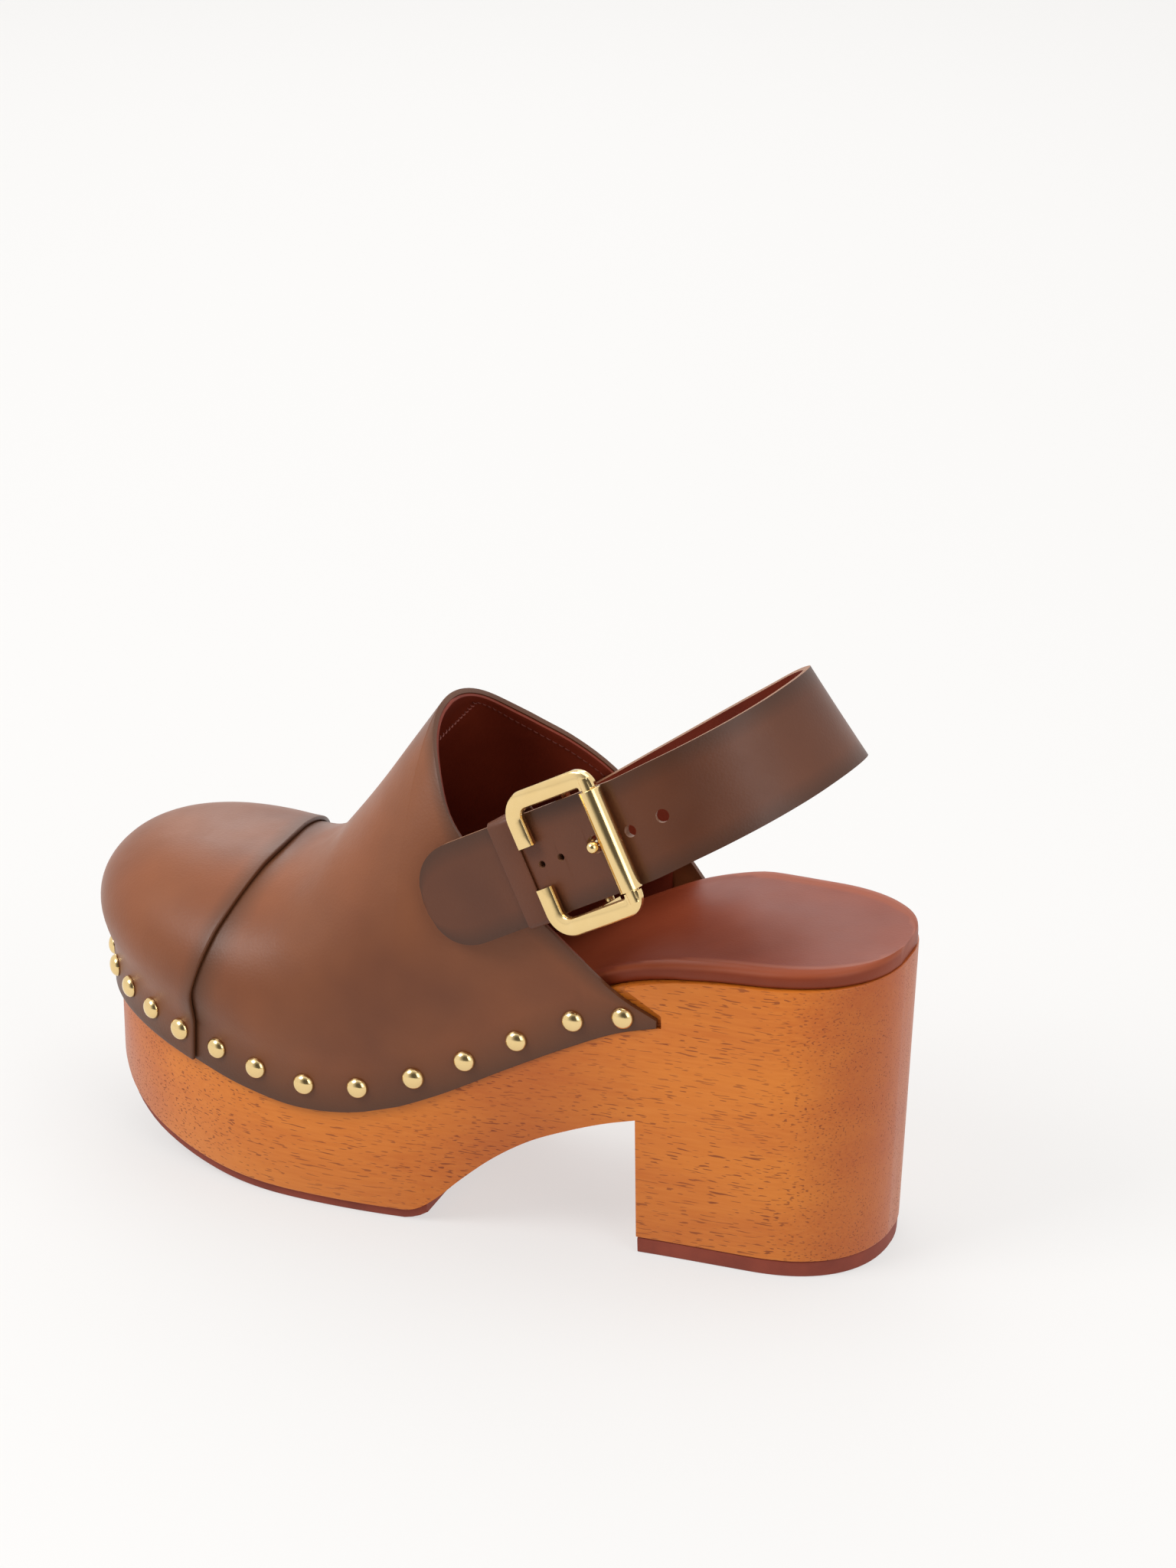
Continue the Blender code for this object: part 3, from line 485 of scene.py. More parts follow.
def upper_point(x, side, t):
    """Point on the inner face of the vamp leather: t runs from the lower edge (0) to the crest (1)."""
    bx, by, bz = upper_base(x, side)
    sx = max(bx, SPINE_FRONT_X)
    sy, sz = table(CENTRE_LINE, sx), table(CREST, sx)
    if t <= BAND_SHARE:
        return np.array([bx, by, bz + BAND_HEIGHT * t / BAND_SHARE])
    tau = (t - BAND_SHARE) / (1 - BAND_SHARE)
    power = float(np.interp(x, [-120, -97, -66, -40, -20, 20], [3.1, 2.9, 2.5, 2.15, 2.05, 2.1]))
    swell = float(np.interp(x, [-129, -100, -70, -30, 20, 57], [4.4, 5.0, 4.4, 3.0, 1.6, 0.4]))
    angle = tau * math.pi / 2
    out = max(math.cos(angle), 0.0) ** (2 / power)
    rise = math.sin(angle) ** (2 / power)
    rx, ry = bx - sx, by - sy
    length = max(math.hypot(rx, ry), 1e-6)
    out += swell * math.sin(math.pi * math.sqrt(tau)) ** 2 / length
    z0 = bz + BAND_HEIGHT
    return np.array([sx + rx * out, sy + ry * out, z0 + (sz - z0) * rise])


def rib_t(x, side, z):
    low, high = 0.0, 1.0
    for _ in range(20):
        mid = (low + high) / 2
        if upper_point(x, side, mid)[2] < z:
            low = mid
        else:
            high = mid
    return low


def upper_normal(x, side, t):
    if t > 0.995:
        at_x = max(x, SPINE_FRONT_X + 0.5)
        normal = np.array([-(table(CREST, at_x + 0.5) - table(CREST, at_x - 0.5)), 0.0, 1.0])
        return normal / np.linalg.norm(normal)
    t = min(max(t, 0.004), 0.985)
    if x < TIP_X + 0.05:
        along = np.array([0.0, 1.0, 0.0])
    elif x < SPINE_FRONT_X:
        along = upper_point(min(x + 0.2, SPINE_FRONT_X), side, t) - upper_point(max(x - 0.2, TIP_X), side, t)
    else:
        along = upper_point(x + 0.4, side, t) - upper_point(x - 0.01, side, t)
    up = upper_point(x, side, t + 0.008) - upper_point(x, side, t - 0.004)
    normal = np.cross(along, up)
    normal = normal / (np.linalg.norm(normal) + 1e-12)
    if np.dot(normal, upper_point(x, side, t) - np.array([max(x + 10, SPINE_FRONT_X), 0.0, 50.0])) < 0:
        normal = -normal
    return normal


def rib_places(first_x, last_x):
    front = [TIP_X + (SPINE_FRONT_X - TIP_X) * (1 - math.cos(math.pi / 2 * i / 26)) for i in range(27)]
    back = [SPINE_FRONT_X + 2.4 * i for i in range(1, 30)] + [THROAT_X]
    throat = [THROAT_X + 76.6 * (i / 40) ** 2 for i in range(1, 41)]
    return [x for x in front + back + throat if first_x <= x <= last_x]


def shell(name, first_x, last_x, whole, layer, mat, rear_edge=None, raise_by=0.0):
    """A leather of the upper between two distances from the vamp's inner face."""
    places = rib_places(first_x, last_x)
    bm = bmesh.new()
    shade = bm.verts.layers.float.new("edge")
    grids = []
    for lift in layer:
        for side in (-1, 1):
            grid = []
            for x in places:
                end = 1.0
                if x > THROAT_X:
                    end = rib_t(x, side, table(OUTER_TOPLINE if side < 0 else INNER_TOPLINE, x) + raise_by)
                split = rib_t(x, side, table(WOOD_TOP, x) + 1.2)
                if split > 0.7 * end:
                    split = 0.5 * end
                steps = [split + (end - split) * i / 34 for i in range(35)]
                if whole:
                    steps = [split * i / 7 for i in range(7)] + steps
                row = []
                for t in steps:
                    xx = x
                    if rear_edge and x > SPINE_FRONT_X:
                        limit = straight(rear_edge, upper_point(x, side, t)[2])
                        share = (x - SPINE_FRONT_X) / (places[-1] - SPINE_FRONT_X)
                        xx = SPINE_FRONT_X + share * (limit - SPINE_FRONT_X)
                    point = upper_point(xx, side, t)
                    vert = bm.verts.new([float(c) * MM for c in point + upper_normal(xx, side, t) * lift])
                    near = 0.0
                    if whole:
                        low = point[2] - table(UPPER_EDGE, max(x, TIP_X))
                        near = max(near, 1 - low / 16)
                    if x > THROAT_X - 6:
                        top = table(OUTER_TOPLINE if side < 0 else INNER_TOPLINE, x) - point[2]
                        near = max(near, 0.8 - max(top, 0) / 9)
                    if rear_edge:
                        near = max(near, 0.75 - (straight(rear_edge, point[2]) - xx) / 7)
                    elif whole and first_x > -100:
                        near = max(near, 0.9 - (xx - straight(CAP_SEAM, point[2])) / 9)
                    vert[shade] = min(max(near, 0.0), 1.0)
                    row.append(vert)
                grid.append(row)
            grids.append(grid)
    for number, grid in enumerate(grids):
        for low, high in zip(grid, grid[1:]):
            for i in range(len(low) - 1):
                face = [low[i], low[i + 1], high[i + 1], high[i]]
                bm.faces.new(face if number in (0, 3) else face[::-1])
    for pair in (grids[:2], grids[2:]):
        bmesh.ops.remove_doubles(bm, verts=[v for grid in pair for row in grid for v in row], dist=0.00003)
    bmesh.ops.bridge_loops(bm, edges=[e for e in bm.edges if e.is_boundary])
    bmesh.ops.recalc_face_normals(bm, faces=bm.faces)
    return add_object(name, bm, mat, 40)


vamp = shell("vamp", SPINE_FRONT_X - 0.01, 57, True, VAMP_LAYER, leather)
bevel(vamp, 0.55, 3, 50)
smooth(vamp, 55)
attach(vamp, "clog")
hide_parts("vamp")

# ---------------------------------------------------------------------------------------------
# Toe cap: the same hide moulded over a stiffener, lapped over the front of the vamp and cut straight across
# the toes. Its edge is left raw and darkened.

CAP_LAYER = (1.75, 3.2)
toe_cap = shell("toe_cap", TIP_X - 1, -66, True, CAP_LAYER, leather, CAP_SEAM)
bevel(toe_cap, 0.5, 3, 50)
smooth(toe_cap, 55)
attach(toe_cap, "clog")
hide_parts("toe_cap", "toe_puff")

# ---------------------------------------------------------------------------------------------
# Lining: thin rust-red leather inside the vamp and the toe, trimmed just below the collar's edge. It shows
# in the opening and in the dark toe space.

lining_leather, coords, plug = new_material("lining leather", Roughness=0.55, Specular_IOR_Level=0.3)
plug("Base Color", mixed(coords.noise(30, 4.0).ramp(0.3, 0.7), srgb(104, 34, 16), srgb(124, 46, 24)))
plug("Normal", bumped(coords.cells(1600) + coords.noise(600, 3.0) * 0.6, 0.2, 0.0001))

LINING_LAYER = (-1.0, -0.05)
COLLAR_TRIM = -0.4
lining = shell("lining", TIP_X - 1, 38, False, LINING_LAYER, lining_leather, None, COLLAR_TRIM)
bevel(lining, 0.3, 2, 50)
smooth(lining, 55)
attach(lining, "clog")
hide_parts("lining")

# ---------------------------------------------------------------------------------------------
# Studs: polished domed nail heads driven through the leather's edge into the wood, one every 12 to 18 mm.

brass, coords, plug = new_material("polished brass", Metallic=1.0, Roughness=0.14)
plug("Base Color", mixed(coords.noise(140, 3.0), srgb(232, 200, 138), srgb(240, 212, 156)))
plug("Roughness", coords.noise(260, 4.0) * 0.1 + 0.11)
plug("Normal", bumped(coords.noise(700, 3.0), 0.05, 0.0001))

STUD_OUTER = [46.7, 32.1, 15.6, 0.3, -14.8, -31.4, -48.0, -63.6, -77, -89.5, -101, -111.3, -119.8, -125.6]
STUD_INNER = [46.7, 32.1, 16.5, 1.2, -14.0, -29.5, -45.5, -61, -75.5, -88.5, -100.5, -111.8, -121.2]


def stud_places():
    places = []
    for x, side in [(x, -1) for x in STUD_OUTER] + [(TIP_X, -1)] + [(x, 1) for x in STUD_INNER]:
        t = BAND_SHARE * (8.0 if x < 40 else 4.6) / BAND_HEIGHT
        point = upper_point(x, side, t)
        normal = upper_normal(x, side, t)
        normal = Vector((normal[0], normal[1], 0)).normalized()
        lift = 3.2 if x < straight(CAP_SEAM, point[2]) - 2 else 1.6
        places.append((Vector(point) + normal * lift, normal))
    return places


def turned(profile, steps):
    """Mesh of revolution about Z from (radius, height) pairs, first and last on the axis."""
    bm = bmesh.new()
    rings = []
    for radius, height in profile:
        if radius == 0:
            rings.append([bm.verts.new((0, 0, height * MM))])
        else:
            rings.append([bm.verts.new((radius * MM * math.cos(2 * math.pi * k / steps),
                                        radius * MM * math.sin(2 * math.pi * k / steps), height * MM))
                          for k in range(steps)])
    for low, high in zip(rings, rings[1:]):
        for k in range(steps):
            j = (k + 1) % steps
            ring = [low[k % len(low)], low[j % len(low)], high[j % len(high)], high[k % len(high)]]
            bm.faces.new(list(dict.fromkeys(ring)))
    bmesh.ops.recalc_face_normals(bm, faces=bm.faces)
    return bm


def scatter(name, places, shape, mat, angle=35):
    """Copies of a shape set on points by Geometry Nodes, with its Z along each point's direction."""
    tree = bpy.data.node_groups.new(name + " scatter", "GeometryNodeTree")
    tree.interface.new_socket("Geometry", in_out="INPUT", socket_type="NodeSocketGeometry")
    shape_socket = tree.interface.new_socket("Shape", in_out="INPUT", socket_type="NodeSocketObject")
    size_socket = tree.interface.new_socket("Size", in_out="INPUT", socket_type="NodeSocketFloat")
    seed_socket = tree.interface.new_socket("Seed", in_out="INPUT", socket_type="NodeSocketInt")
    tree.interface.new_socket("Geometry", in_out="OUTPUT", socket_type="NodeSocketGeometry")
    start = tree.nodes.new("NodeGroupInput")
    end = tree.nodes.new("NodeGroupOutput")
    info = tree.nodes.new("GeometryNodeObjectInfo")
    put = tree.nodes.new("GeometryNodeInstanceOnPoints")
    direction = tree.nodes.new("GeometryNodeInputNamedAttribute")
    direction.data_type = "FLOAT_VECTOR"
    direction.inputs["Name"].default_value = "facing"
    side = tree.nodes.new("GeometryNodeInputNamedAttribute")
    side.data_type = "FLOAT_VECTOR"
    side.inputs["Name"].default_value = "sideways"
    aim = tree.nodes.new("FunctionNodeAlignRotationToVector")
    aim.axis = "Z"
    turn = tree.nodes.new("FunctionNodeAlignRotationToVector")
    turn.axis = "X"
    turn.pivot_axis = "Z"
    jitter = tree.nodes.new("FunctionNodeRandomValue")
    jitter.inputs[2].default_value = 0.98
    jitter.inputs[3].default_value = 1.02
    scale = tree.nodes.new("ShaderNodeMath")
    scale.operation = "MULTIPLY"
    real = tree.nodes.new("GeometryNodeRealizeInstances")
    paint = tree.nodes.new("GeometryNodeSetMaterial")
    paint.inputs["Material"].default_value = mat
    link = tree.links.new
    link(start.outputs["Geometry"], put.inputs["Points"])
    link(start.outputs["Shape"], info.inputs["Object"])
    link(info.outputs["Geometry"], put.inputs["Instance"])
    link(direction.outputs["Attribute"], aim.inputs["Vector"])
    link(aim.outputs["Rotation"], turn.inputs["Rotation"])
    link(side.outputs["Attribute"], turn.inputs["Vector"])
    link(turn.outputs["Rotation"], put.inputs["Rotation"])
    link(start.outputs["Seed"], jitter.inputs["Seed"])
    link(start.outputs["Size"], scale.inputs[0])
    link(jitter.outputs[1], scale.inputs[1])
    link(scale.outputs[0], put.inputs["Scale"])
    link(put.outputs["Instances"], real.inputs["Geometry"])
    link(real.outputs["Geometry"], paint.inputs["Geometry"])
    link(paint.outputs["Geometry"], end.inputs["Geometry"])
    mesh = bpy.data.meshes.new(name)
    mesh.from_pydata([tuple((p[0] + CENTRE_MOVE) * MM) for p in places], [], [])
    facing = mesh.attributes.new("facing", "FLOAT_VECTOR", "POINT")
    sideways = mesh.attributes.new("sideways", "FLOAT_VECTOR", "POINT")
    for i, place in enumerate(places):
        facing.data[i].vector = place[1]
        sideways.data[i].vector = place[2] if len(place) > 2 else Vector((0, 0, 1)).cross(place[1])
    obj = bpy.data.objects.new(name, mesh)
    scene.collection.objects.link(obj)
    mod = obj.modifiers.new("scatter", "NODES")
    mod.node_group = tree
    mod[shape_socket.identifier] = shape
    mod[size_socket.identifier] = 1.0
    mod[seed_socket.identifier] = 7
    bake(obj)
    bpy.data.objects.remove(shape, do_unlink=True)
    smooth(obj, angle)
    return obj


def loose_shape(name, bm):
    mesh = bpy.data.meshes.new(name)
    bm.to_mesh(mesh)
    bm.free()
    obj = bpy.data.objects.new(name, mesh)
    scene.collection.objects.link(obj)
    return obj


dome = [(0, -0.3), (2.6, -0.25), (3.15, 0.0), (3.3, 0.12), (3.3, 0.35), (3.1, 0.85), (2.7, 1.35),
        (2.15, 1.75), (1.45, 2.05), (0.7, 2.2), (0, 2.25)]
studs = scatter("studs", stud_places(), loose_shape("stud", turned(dome, 28)), brass, 50)
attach(studs, "clog")
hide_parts(*["stud_%02d" % (i + 1) for i in range(28)])

# ---------------------------------------------------------------------------------------------
# Sling strap: the outer leather, 30 mm wide, from the tail on the outer side through the buckle, round the
# heel and into the inner side of the upper. Its edges are raw and lighter.

strap_leather = leather_material("strap leather", srgb(80, 42, 24), srgb(100, 56, 33), srgb(114, 60, 34),
                                 srgb(58, 36, 23))
raw_edge, coords, plug = new_material("cut edge", Roughness=0.6)
plug("Base Color", mixed(coords.noise(400, 3.0), srgb(150, 104, 74), srgb(120, 82, 58)))

# The buckle's middle, and the strap's directions there: along it towards the heel, across it and out.
BUCKLE_AT = (37.1, -42.75, 131.4)
slope = math.radians(30.0)
along = Vector((math.cos(slope), -0.02, math.sin(slope))).normalized()
across = Vector((-math.sin(slope), 0.17, math.cos(slope)))
across = (across - along * across.dot(along)).normalized()
out = along.cross(across)


def at(u, n, h):
    """Point along (u), across (n) and out (h) from the middle of the buckle."""
    return Vector(BUCKLE_AT) + along * u + across * n + out * h


STRAP_HALF = 15.0
TAIL_U = -54
TAIL_ROUND = 15.0
LOOP = [(62, -40.2, 146), (71, -35.5, 151), (80, -28, 155.8), (87.5, -18, 159.6), (92, -7, 161.6),
        (93.3, 4, 161.3), (91, 14.5, 158.3), (84.5, 23.3, 152.5), (75, 28.6, 144.5), (63, 30.7, 135.2),
        (50, 30.9, 125.3), (38, 29.7, 116.5), (27, 28.9, 108.3), (16, 28.6, 100.2), (6, 28.4, 92.8)]


def strap_path():
    """Centre, across and out directions, half width and length along the strap."""
    centres = []
    widths = []
    for i in range(73):
        u = TAIL_U + i
        tail = min(max(u - TAIL_U, 0.0), TAIL_ROUND)
        centres.append(at(u, 0, 0))
        widths.append(max(STRAP_HALF * (1 - (1 - tail / TAIL_ROUND) ** 2.3) ** (1 / 2.3), 1.6))
    straight_count = len(centres)
    knots = [at(9, 0, 0), at(18, 0, 0)] + [Vector(p) for p in LOOP] + [Vector((-4, 28.2, 85.4))]
    for a, b, c, d in zip(knots, knots[1:], knots[2:], knots[3:]):
        for k in range(1, 9):
            t = k / 8
            centres.append(0.5 * (2 * b + (c - a) * t + (2 * a - 5 * b + 4 * c - d) * t ** 2
                                  + (3 * b - a - 3 * c + d) * t ** 3))
            widths.append(STRAP_HALF)
    path = []
    for i, centre in enumerate(centres):
        ahead = centres[min(i + 1, len(centres) - 1)] - centres[max(i - 1, 0)]
        ahead = along if i < straight_count else ahead.normalized()
        share = min(max((centre.y + 40) / 70, 0), 1) if i >= straight_count else 0
        wide = across.lerp(Vector((-0.616, -0.05, 0.788)), share)
        wide = (wide - ahead * wide.dot(ahead)).normalized()
        path.append((centre, wide, ahead.cross(wide), widths[i]))
    return path


# Shares of the half width at which a strap has points; the outermost two take the dark tint.
ACROSS = (-1, -0.93, -0.6, 0, 0.6, 0.93, 1)


def strap_layer(name, low, high, mat):
    """One leather of the strap; its long edges take the cut-edge material."""
    bm = bmesh.new()
    shade = bm.verts.layers.float.new("edge")
    rings = []
    for centre, wide, away, w in strap_path():
        ring = []
        for level, order in ((low, ACROSS), (high, ACROSS[::-1])):
            for share in order:
                vert = bm.verts.new((centre + wide * (w * share) + away * level) * MM)
                vert[shade] = 0.75 if abs(share) > 0.9 else 0.0
                ring.append(vert)
        rings.append(ring)
    for low_ring, high_ring in zip(rings, rings[1:]):
        for i in range(14):
            j = (i + 1) % 14
            face = bm.faces.new((low_ring[i], low_ring[j], high_ring[j], high_ring[i]))
            face.material_index = 1 if i in (6, 13) else 0
    for ring in (rings[0][::-1], rings[-1]):
        bm.faces.new(ring).material_index = 1
    bmesh.ops.recalc_face_normals(bm, faces=bm.faces)
    obj = add_object(name, bm, mat, 40)
    obj.data.materials.append(raw_edge)
    return obj


def rod(points, radius, steps=24):
    """Round wire through points in the strap's directions."""
    centres = [at(*p) for p in points]
    sections = []
    for i, centre in enumerate(centres):
        ahead = (centres[min(i + 1, len(centres) - 1)] - centres[max(i - 1, 0)]).normalized()
        reference = across if abs(ahead.dot(across)) < 0.9 else along
        side = ahead.cross(reference).normalized()
        other = ahead.cross(side)
        sections.append([centre + side * (radius * math.cos(2 * math.pi * k / steps))
                         + other * (radius * math.sin(2 * math.pi * k / steps)) for k in range(steps)])
    return sections


def punches():
    tools = []
    for u, radius in ((6, 2.65), (18, 1.75), (-6, 1.1), (-12.6, 1.1)):
        tools.append(add_object("punch", loft(rod([(u, 0, -4), (u, 0, 4)], radius, 24)), raw_edge))
    centre, wide, away, _ = min(strap_path(), key=lambda place: (place[0] - at(28, 0, 0)).length)
    ring = [centre + (wide * math.cos(a) + away.cross(wide) * math.sin(a)) * 1.9
            for a in (2 * math.pi * k / 24 for k in range(24))]
    tools.append(add_object("punch", prism([p - away * 4 for p in ring],
                                           [p + away * 4 for p in ring]), raw_edge))
    return tools


strap = strap_layer("sling_strap", -0.2, 1.15, strap_leather)
cut(strap, *punches())
bevel(strap, 0.28, 2, 50)
smooth(strap, 50)
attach(strap, "sling")
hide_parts("sling_strap")

# ---------------------------------------------------------------------------------------------
# Sling strap's lining: the rust-red leather on the foot's side of the strap, glued to it and punched with the
# same holes.

strap_lining = strap_layer("sling_strap_lining", -1.3, -0.22, lining_leather)
cut(strap_lining, *punches())
bevel(strap_lining, 0.22, 2, 50)
smooth(strap_lining, 50)
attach(strap_lining, "sling")
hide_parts("sling_strap_lining")

# ---------------------------------------------------------------------------------------------
# Buckle strap: a short strap from inside the outer side of the upper, folded round the buckle's centre bar
# and stitched back on itself, with its own piece of lining.

BAR_H = -4.4
FOLD_RADIUS = 2.2
CHAPE = [(-62, -9.2), (-54, -10.0), (-45, -11.5), (-37, -12.0), (-30, -11.0), (-22, -8.2), (-12, -5.0),
         (-5, -3.0)]
CHAPE_RETURN = [(-6, -7.1), (-12, -7.6), (-22, -9.8), (-30, -12.55), (-32.3, -13.3)]


def smooth_line(points, steps):
    """Points along a smooth curve through the given ones."""
    line = []
    padded = [points[0]] + list(points) + [points[-1]]
    for a, b, c, d in zip(padded, padded[1:], padded[2:], padded[3:]):
        for k in range(steps):
            t = k / steps
            line.append(tuple(0.5 * (2 * q + (r - p) * t + (2 * p - 5 * q + 4 * r - s) * t ** 2
                                     + (3 * q - p - 3 * r + s) * t ** 3) for p, q, r, s in zip(a, b, c, d)))
    return line + [tuple(points[-1])]


def thick_line(points, half):
    left, right = [], []
    for i, (u, h) in enumerate(points):
        p, q = points[max(i - 1, 0)], points[min(i + 1, len(points) - 1)]
        du, dh = q[0] - p[0], q[1] - p[1]
        size = math.hypot(du, dh)
        left.append((u - dh / size * half, h + du / size * half))
        right.append((u + dh / size * half, h - du / size * half))
    return left + right[::-1]


def strap_prism(outline_uh, n0, n1):
    return prism([at(u, n0, h) for u, h in outline_uh], [at(u, n1, h) for u, h in outline_uh])


fold = [(FOLD_RADIUS * math.cos(math.radians(a)), BAR_H + FOLD_RADIUS * math.sin(math.radians(a)))
        for a in range(100, -96, -15)]
chape_line = smooth_line(CHAPE, 4) + fold + smooth_line(CHAPE_RETURN, 4)
chape = add_object("buckle_strap", strap_prism(thick_line(chape_line, 0.62), -13.6, 13.6), strap_leather)
slot_line = [(-5.2, -9.5), (5, -9.5), (5, 0.4), (-5.2, 0.4)]
cut(chape, add_object("slot", strap_prism(slot_line, -1.9, 1.9), strap_leather))
bevel(chape, 0.25, 2, 50)
smooth(chape, 50)
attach(chape, "sling")
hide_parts("buckle_strap")

# ---------------------------------------------------------------------------------------------
# Buckle strap's lining: the same rust-red leather under the part that lies on the foot. It stops where the
# folded end begins.

lining_line = smooth_line([(u, h - 1.05) for u, h in CHAPE[:4]] + [(-34.8, -12.95)], 4)
chape_lining = add_object("buckle_strap_lining", strap_prism(thick_line(lining_line, 0.38), -13.4, 13.4),
                          lining_leather)
bevel(chape_lining, 0.15, 2, 50)
smooth(chape_lining, 50)
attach(chape_lining, "sling")
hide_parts("buckle_strap_lining")

# ---------------------------------------------------------------------------------------------
# Buckle: a flat brass frame with bevelled edges and a split front bar, a low centre bar between two ears and
# a rear bar that carries the roller.

REAR_U, REAR_H = 13.3, 4.9


def corner(cu, cn, radius, start, end, steps=12):
    turns = [math.radians(start + (end - start) * k / steps) for k in range(steps + 1)]
    return [(cu + radius * math.cos(a), cn + radius * math.sin(a)) for a in turns]


frame_line = ([(-13.5, 6.2), (-13.5, 9.5)] + corner(-8, 13.6, 5.5, 180, 90)
              + [(-3, 19.1), (1, 19.1), (6, 19.1)] + corner(10.3, 16.1, 3.0, 90, 0)
              + [(REAR_U, 15.7), (REAR_U, 15.5)])
frame_section = [(-2.6, -0.8), (-2.3, -1.25), (-1.8, -1.5), (1.8, -1.5), (2.3, -1.25), (2.6, -0.8),
                 (2.6, 0.55), (2.25, 1.15), (1.5, 1.5), (-1.5, 1.5), (-2.25, 1.15), (-2.6, 0.55)]


def frame_half(mirror):
    sections = []
    for i, (u, n) in enumerate(frame_line):
        p, q = frame_line[max(i - 1, 0)], frame_line[min(i + 1, len(frame_line) - 1)]
        du, dn = q[0] - p[0], q[1] - p[1]
        size = math.hypot(du, dn)
        place = (u + 13.5) / 26.8
        h = 3.3 + 1.6 * min(max(place, 0), 1) + 0.9 * math.sin(math.pi * place)
        sections.append([at(u - dn / size * w, (n + du / size * w) * mirror, h + k)
                         for w, k in frame_section])
    return loft(sections)


buckle = add_object("buckle_frame", frame_half(1), brass)
tools = [add_object("lower_half", frame_half(-1), brass),
         add_object("rear_bar", loft(rod([(REAR_U, -18.5, REAR_H), (REAR_U, 18.5, REAR_H)], 2.0)), brass),
         add_object("centre_bar", loft(rod([(0, -18, BAR_H), (0, 18, BAR_H)], 1.3)), brass)]
ear_line = [(-2.4, -5.9), (2.4, -5.9), (2.1, 4.6), (-2.1, 4.6)]
for n0, n1 in ((-18.9, -16.5), (16.5, 18.9)):
    tools.append(add_object("ear", strap_prism(ear_line, n0, n1), brass))
cut(buckle, *tools, operation="UNION")
bevel(buckle, 0.3, 3, 32)
smooth(buckle, 28)
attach(buckle, "buckle")
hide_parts("buckle_frame")

# ---------------------------------------------------------------------------------------------
# Roller: sheet brass rolled into a sleeve, with the thin dark line of its seam on the outer side.

sleeve = rod([(REAR_U, -15.0, REAR_H), (REAR_U, 15.0, REAR_H)], 3.3, 48)
roller = add_object("buckle_roller", loft(sleeve), brass)
seam_line = [(11.6, 7.25), (12.05, 7.25), (12.05, 9.2), (11.6, 9.2)]
cut(roller,
    add_object("bore", loft(rod([(REAR_U, -18, REAR_H), (REAR_U, 18, REAR_H)], 2.3, 32)), brass),
    add_object("seam", strap_prism(seam_line, -20, 20), brass))
bevel(roller, 0.25, 3, 35)
smooth(roller, 35)
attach(roller, "roller")
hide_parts("buckle_roller")

# ---------------------------------------------------------------------------------------------
# Prong: a brass pin with an eye round the centre bar, an arm up through the strap's hole and a round tip
# beside the roller.

prong = add_object("buckle_prong", loft(rod([(0, -1.3, BAR_H), (0, 1.3, BAR_H)], 2.75, 32)), brass)
arm_line = smooth_line([(1.7, 0, -4.5), (3.6, 0, -3.5), (5.2, 0, -1.6), (6.2, 0, 0.7), (7.2, 0, 3.8),
                        (8.5, 0, 7.0)], 4)
ball = bmesh.new()
bmesh.ops.create_uvsphere(ball, u_segments=28, v_segments=18, radius=1.75 * MM,
                          matrix=Matrix.Translation(at(8.7, 0, 7.45) * MM))
cut(prong, add_object("arm", loft(rod(arm_line, 1.1)), brass), add_object("tip_ball", ball, brass),
    operation="UNION")
cut(prong, add_object("eye", loft(rod([(0, -4, BAR_H), (0, 4, BAR_H)], 1.45, 32)), brass))
smooth(prong, 40)
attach(prong, "prong")
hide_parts("buckle_prong")

# ---------------------------------------------------------------------------------------------
# Keeper: a narrow leather loop pushed up against the buckle, that holds the tail down on the buckle strap.


def keeper_ring(u, grow):
    """Rounded loop across the strap at one place along it."""
    n, top, low, r = 15.3 + grow, 1.5 + grow, -12.08 - grow, 1.1 + grow
    ring = []
    corners = ((n - r, top - r, 0), (r - n, top - r, 90), (r - n, low + r, 180), (n - r, low + r, 270))
    for cn, ch, start in corners:
        for k in range(7):
            a = math.radians(start + 90 * k / 6)
            ring.append(at(u, cn + r * math.cos(a), ch + r * math.sin(a)))
    return ring


bm = bmesh.new()
loops = [keeper_ring(-24.1, 0.0), keeper_ring(-24.1, 0.85), keeper_ring(-16.8, 0.85), keeper_ring(-16.8, 0.0)]
rings = [[bm.verts.new(p * MM) for p in loop] for loop in loops]
for a, b in zip(rings, rings[1:] + rings[:1]):
    for i in range(len(a)):
        j = (i + 1) % len(a)
        bm.faces.new((a[i], a[j], b[j], b[i]))
bmesh.ops.recalc_face_normals(bm, faces=bm.faces)
keeper = add_object("keeper_loop", bm, strap_leather)
bevel(keeper, 0.35, 3, 50)
smooth(keeper, 50)
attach(keeper, "keeper")
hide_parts("keeper_loop")

# ---------------------------------------------------------------------------------------------
# Collar stitches: a fine red seam inside the opening, 4 mm below its edge, that holds lining and vamp
# together.

red_thread, coords, plug = new_material("red thread", Roughness=0.6)
plug("Base Color", mixed(coords.noise(900, 2.0), srgb(96, 36, 24), srgb(116, 48, 32)))


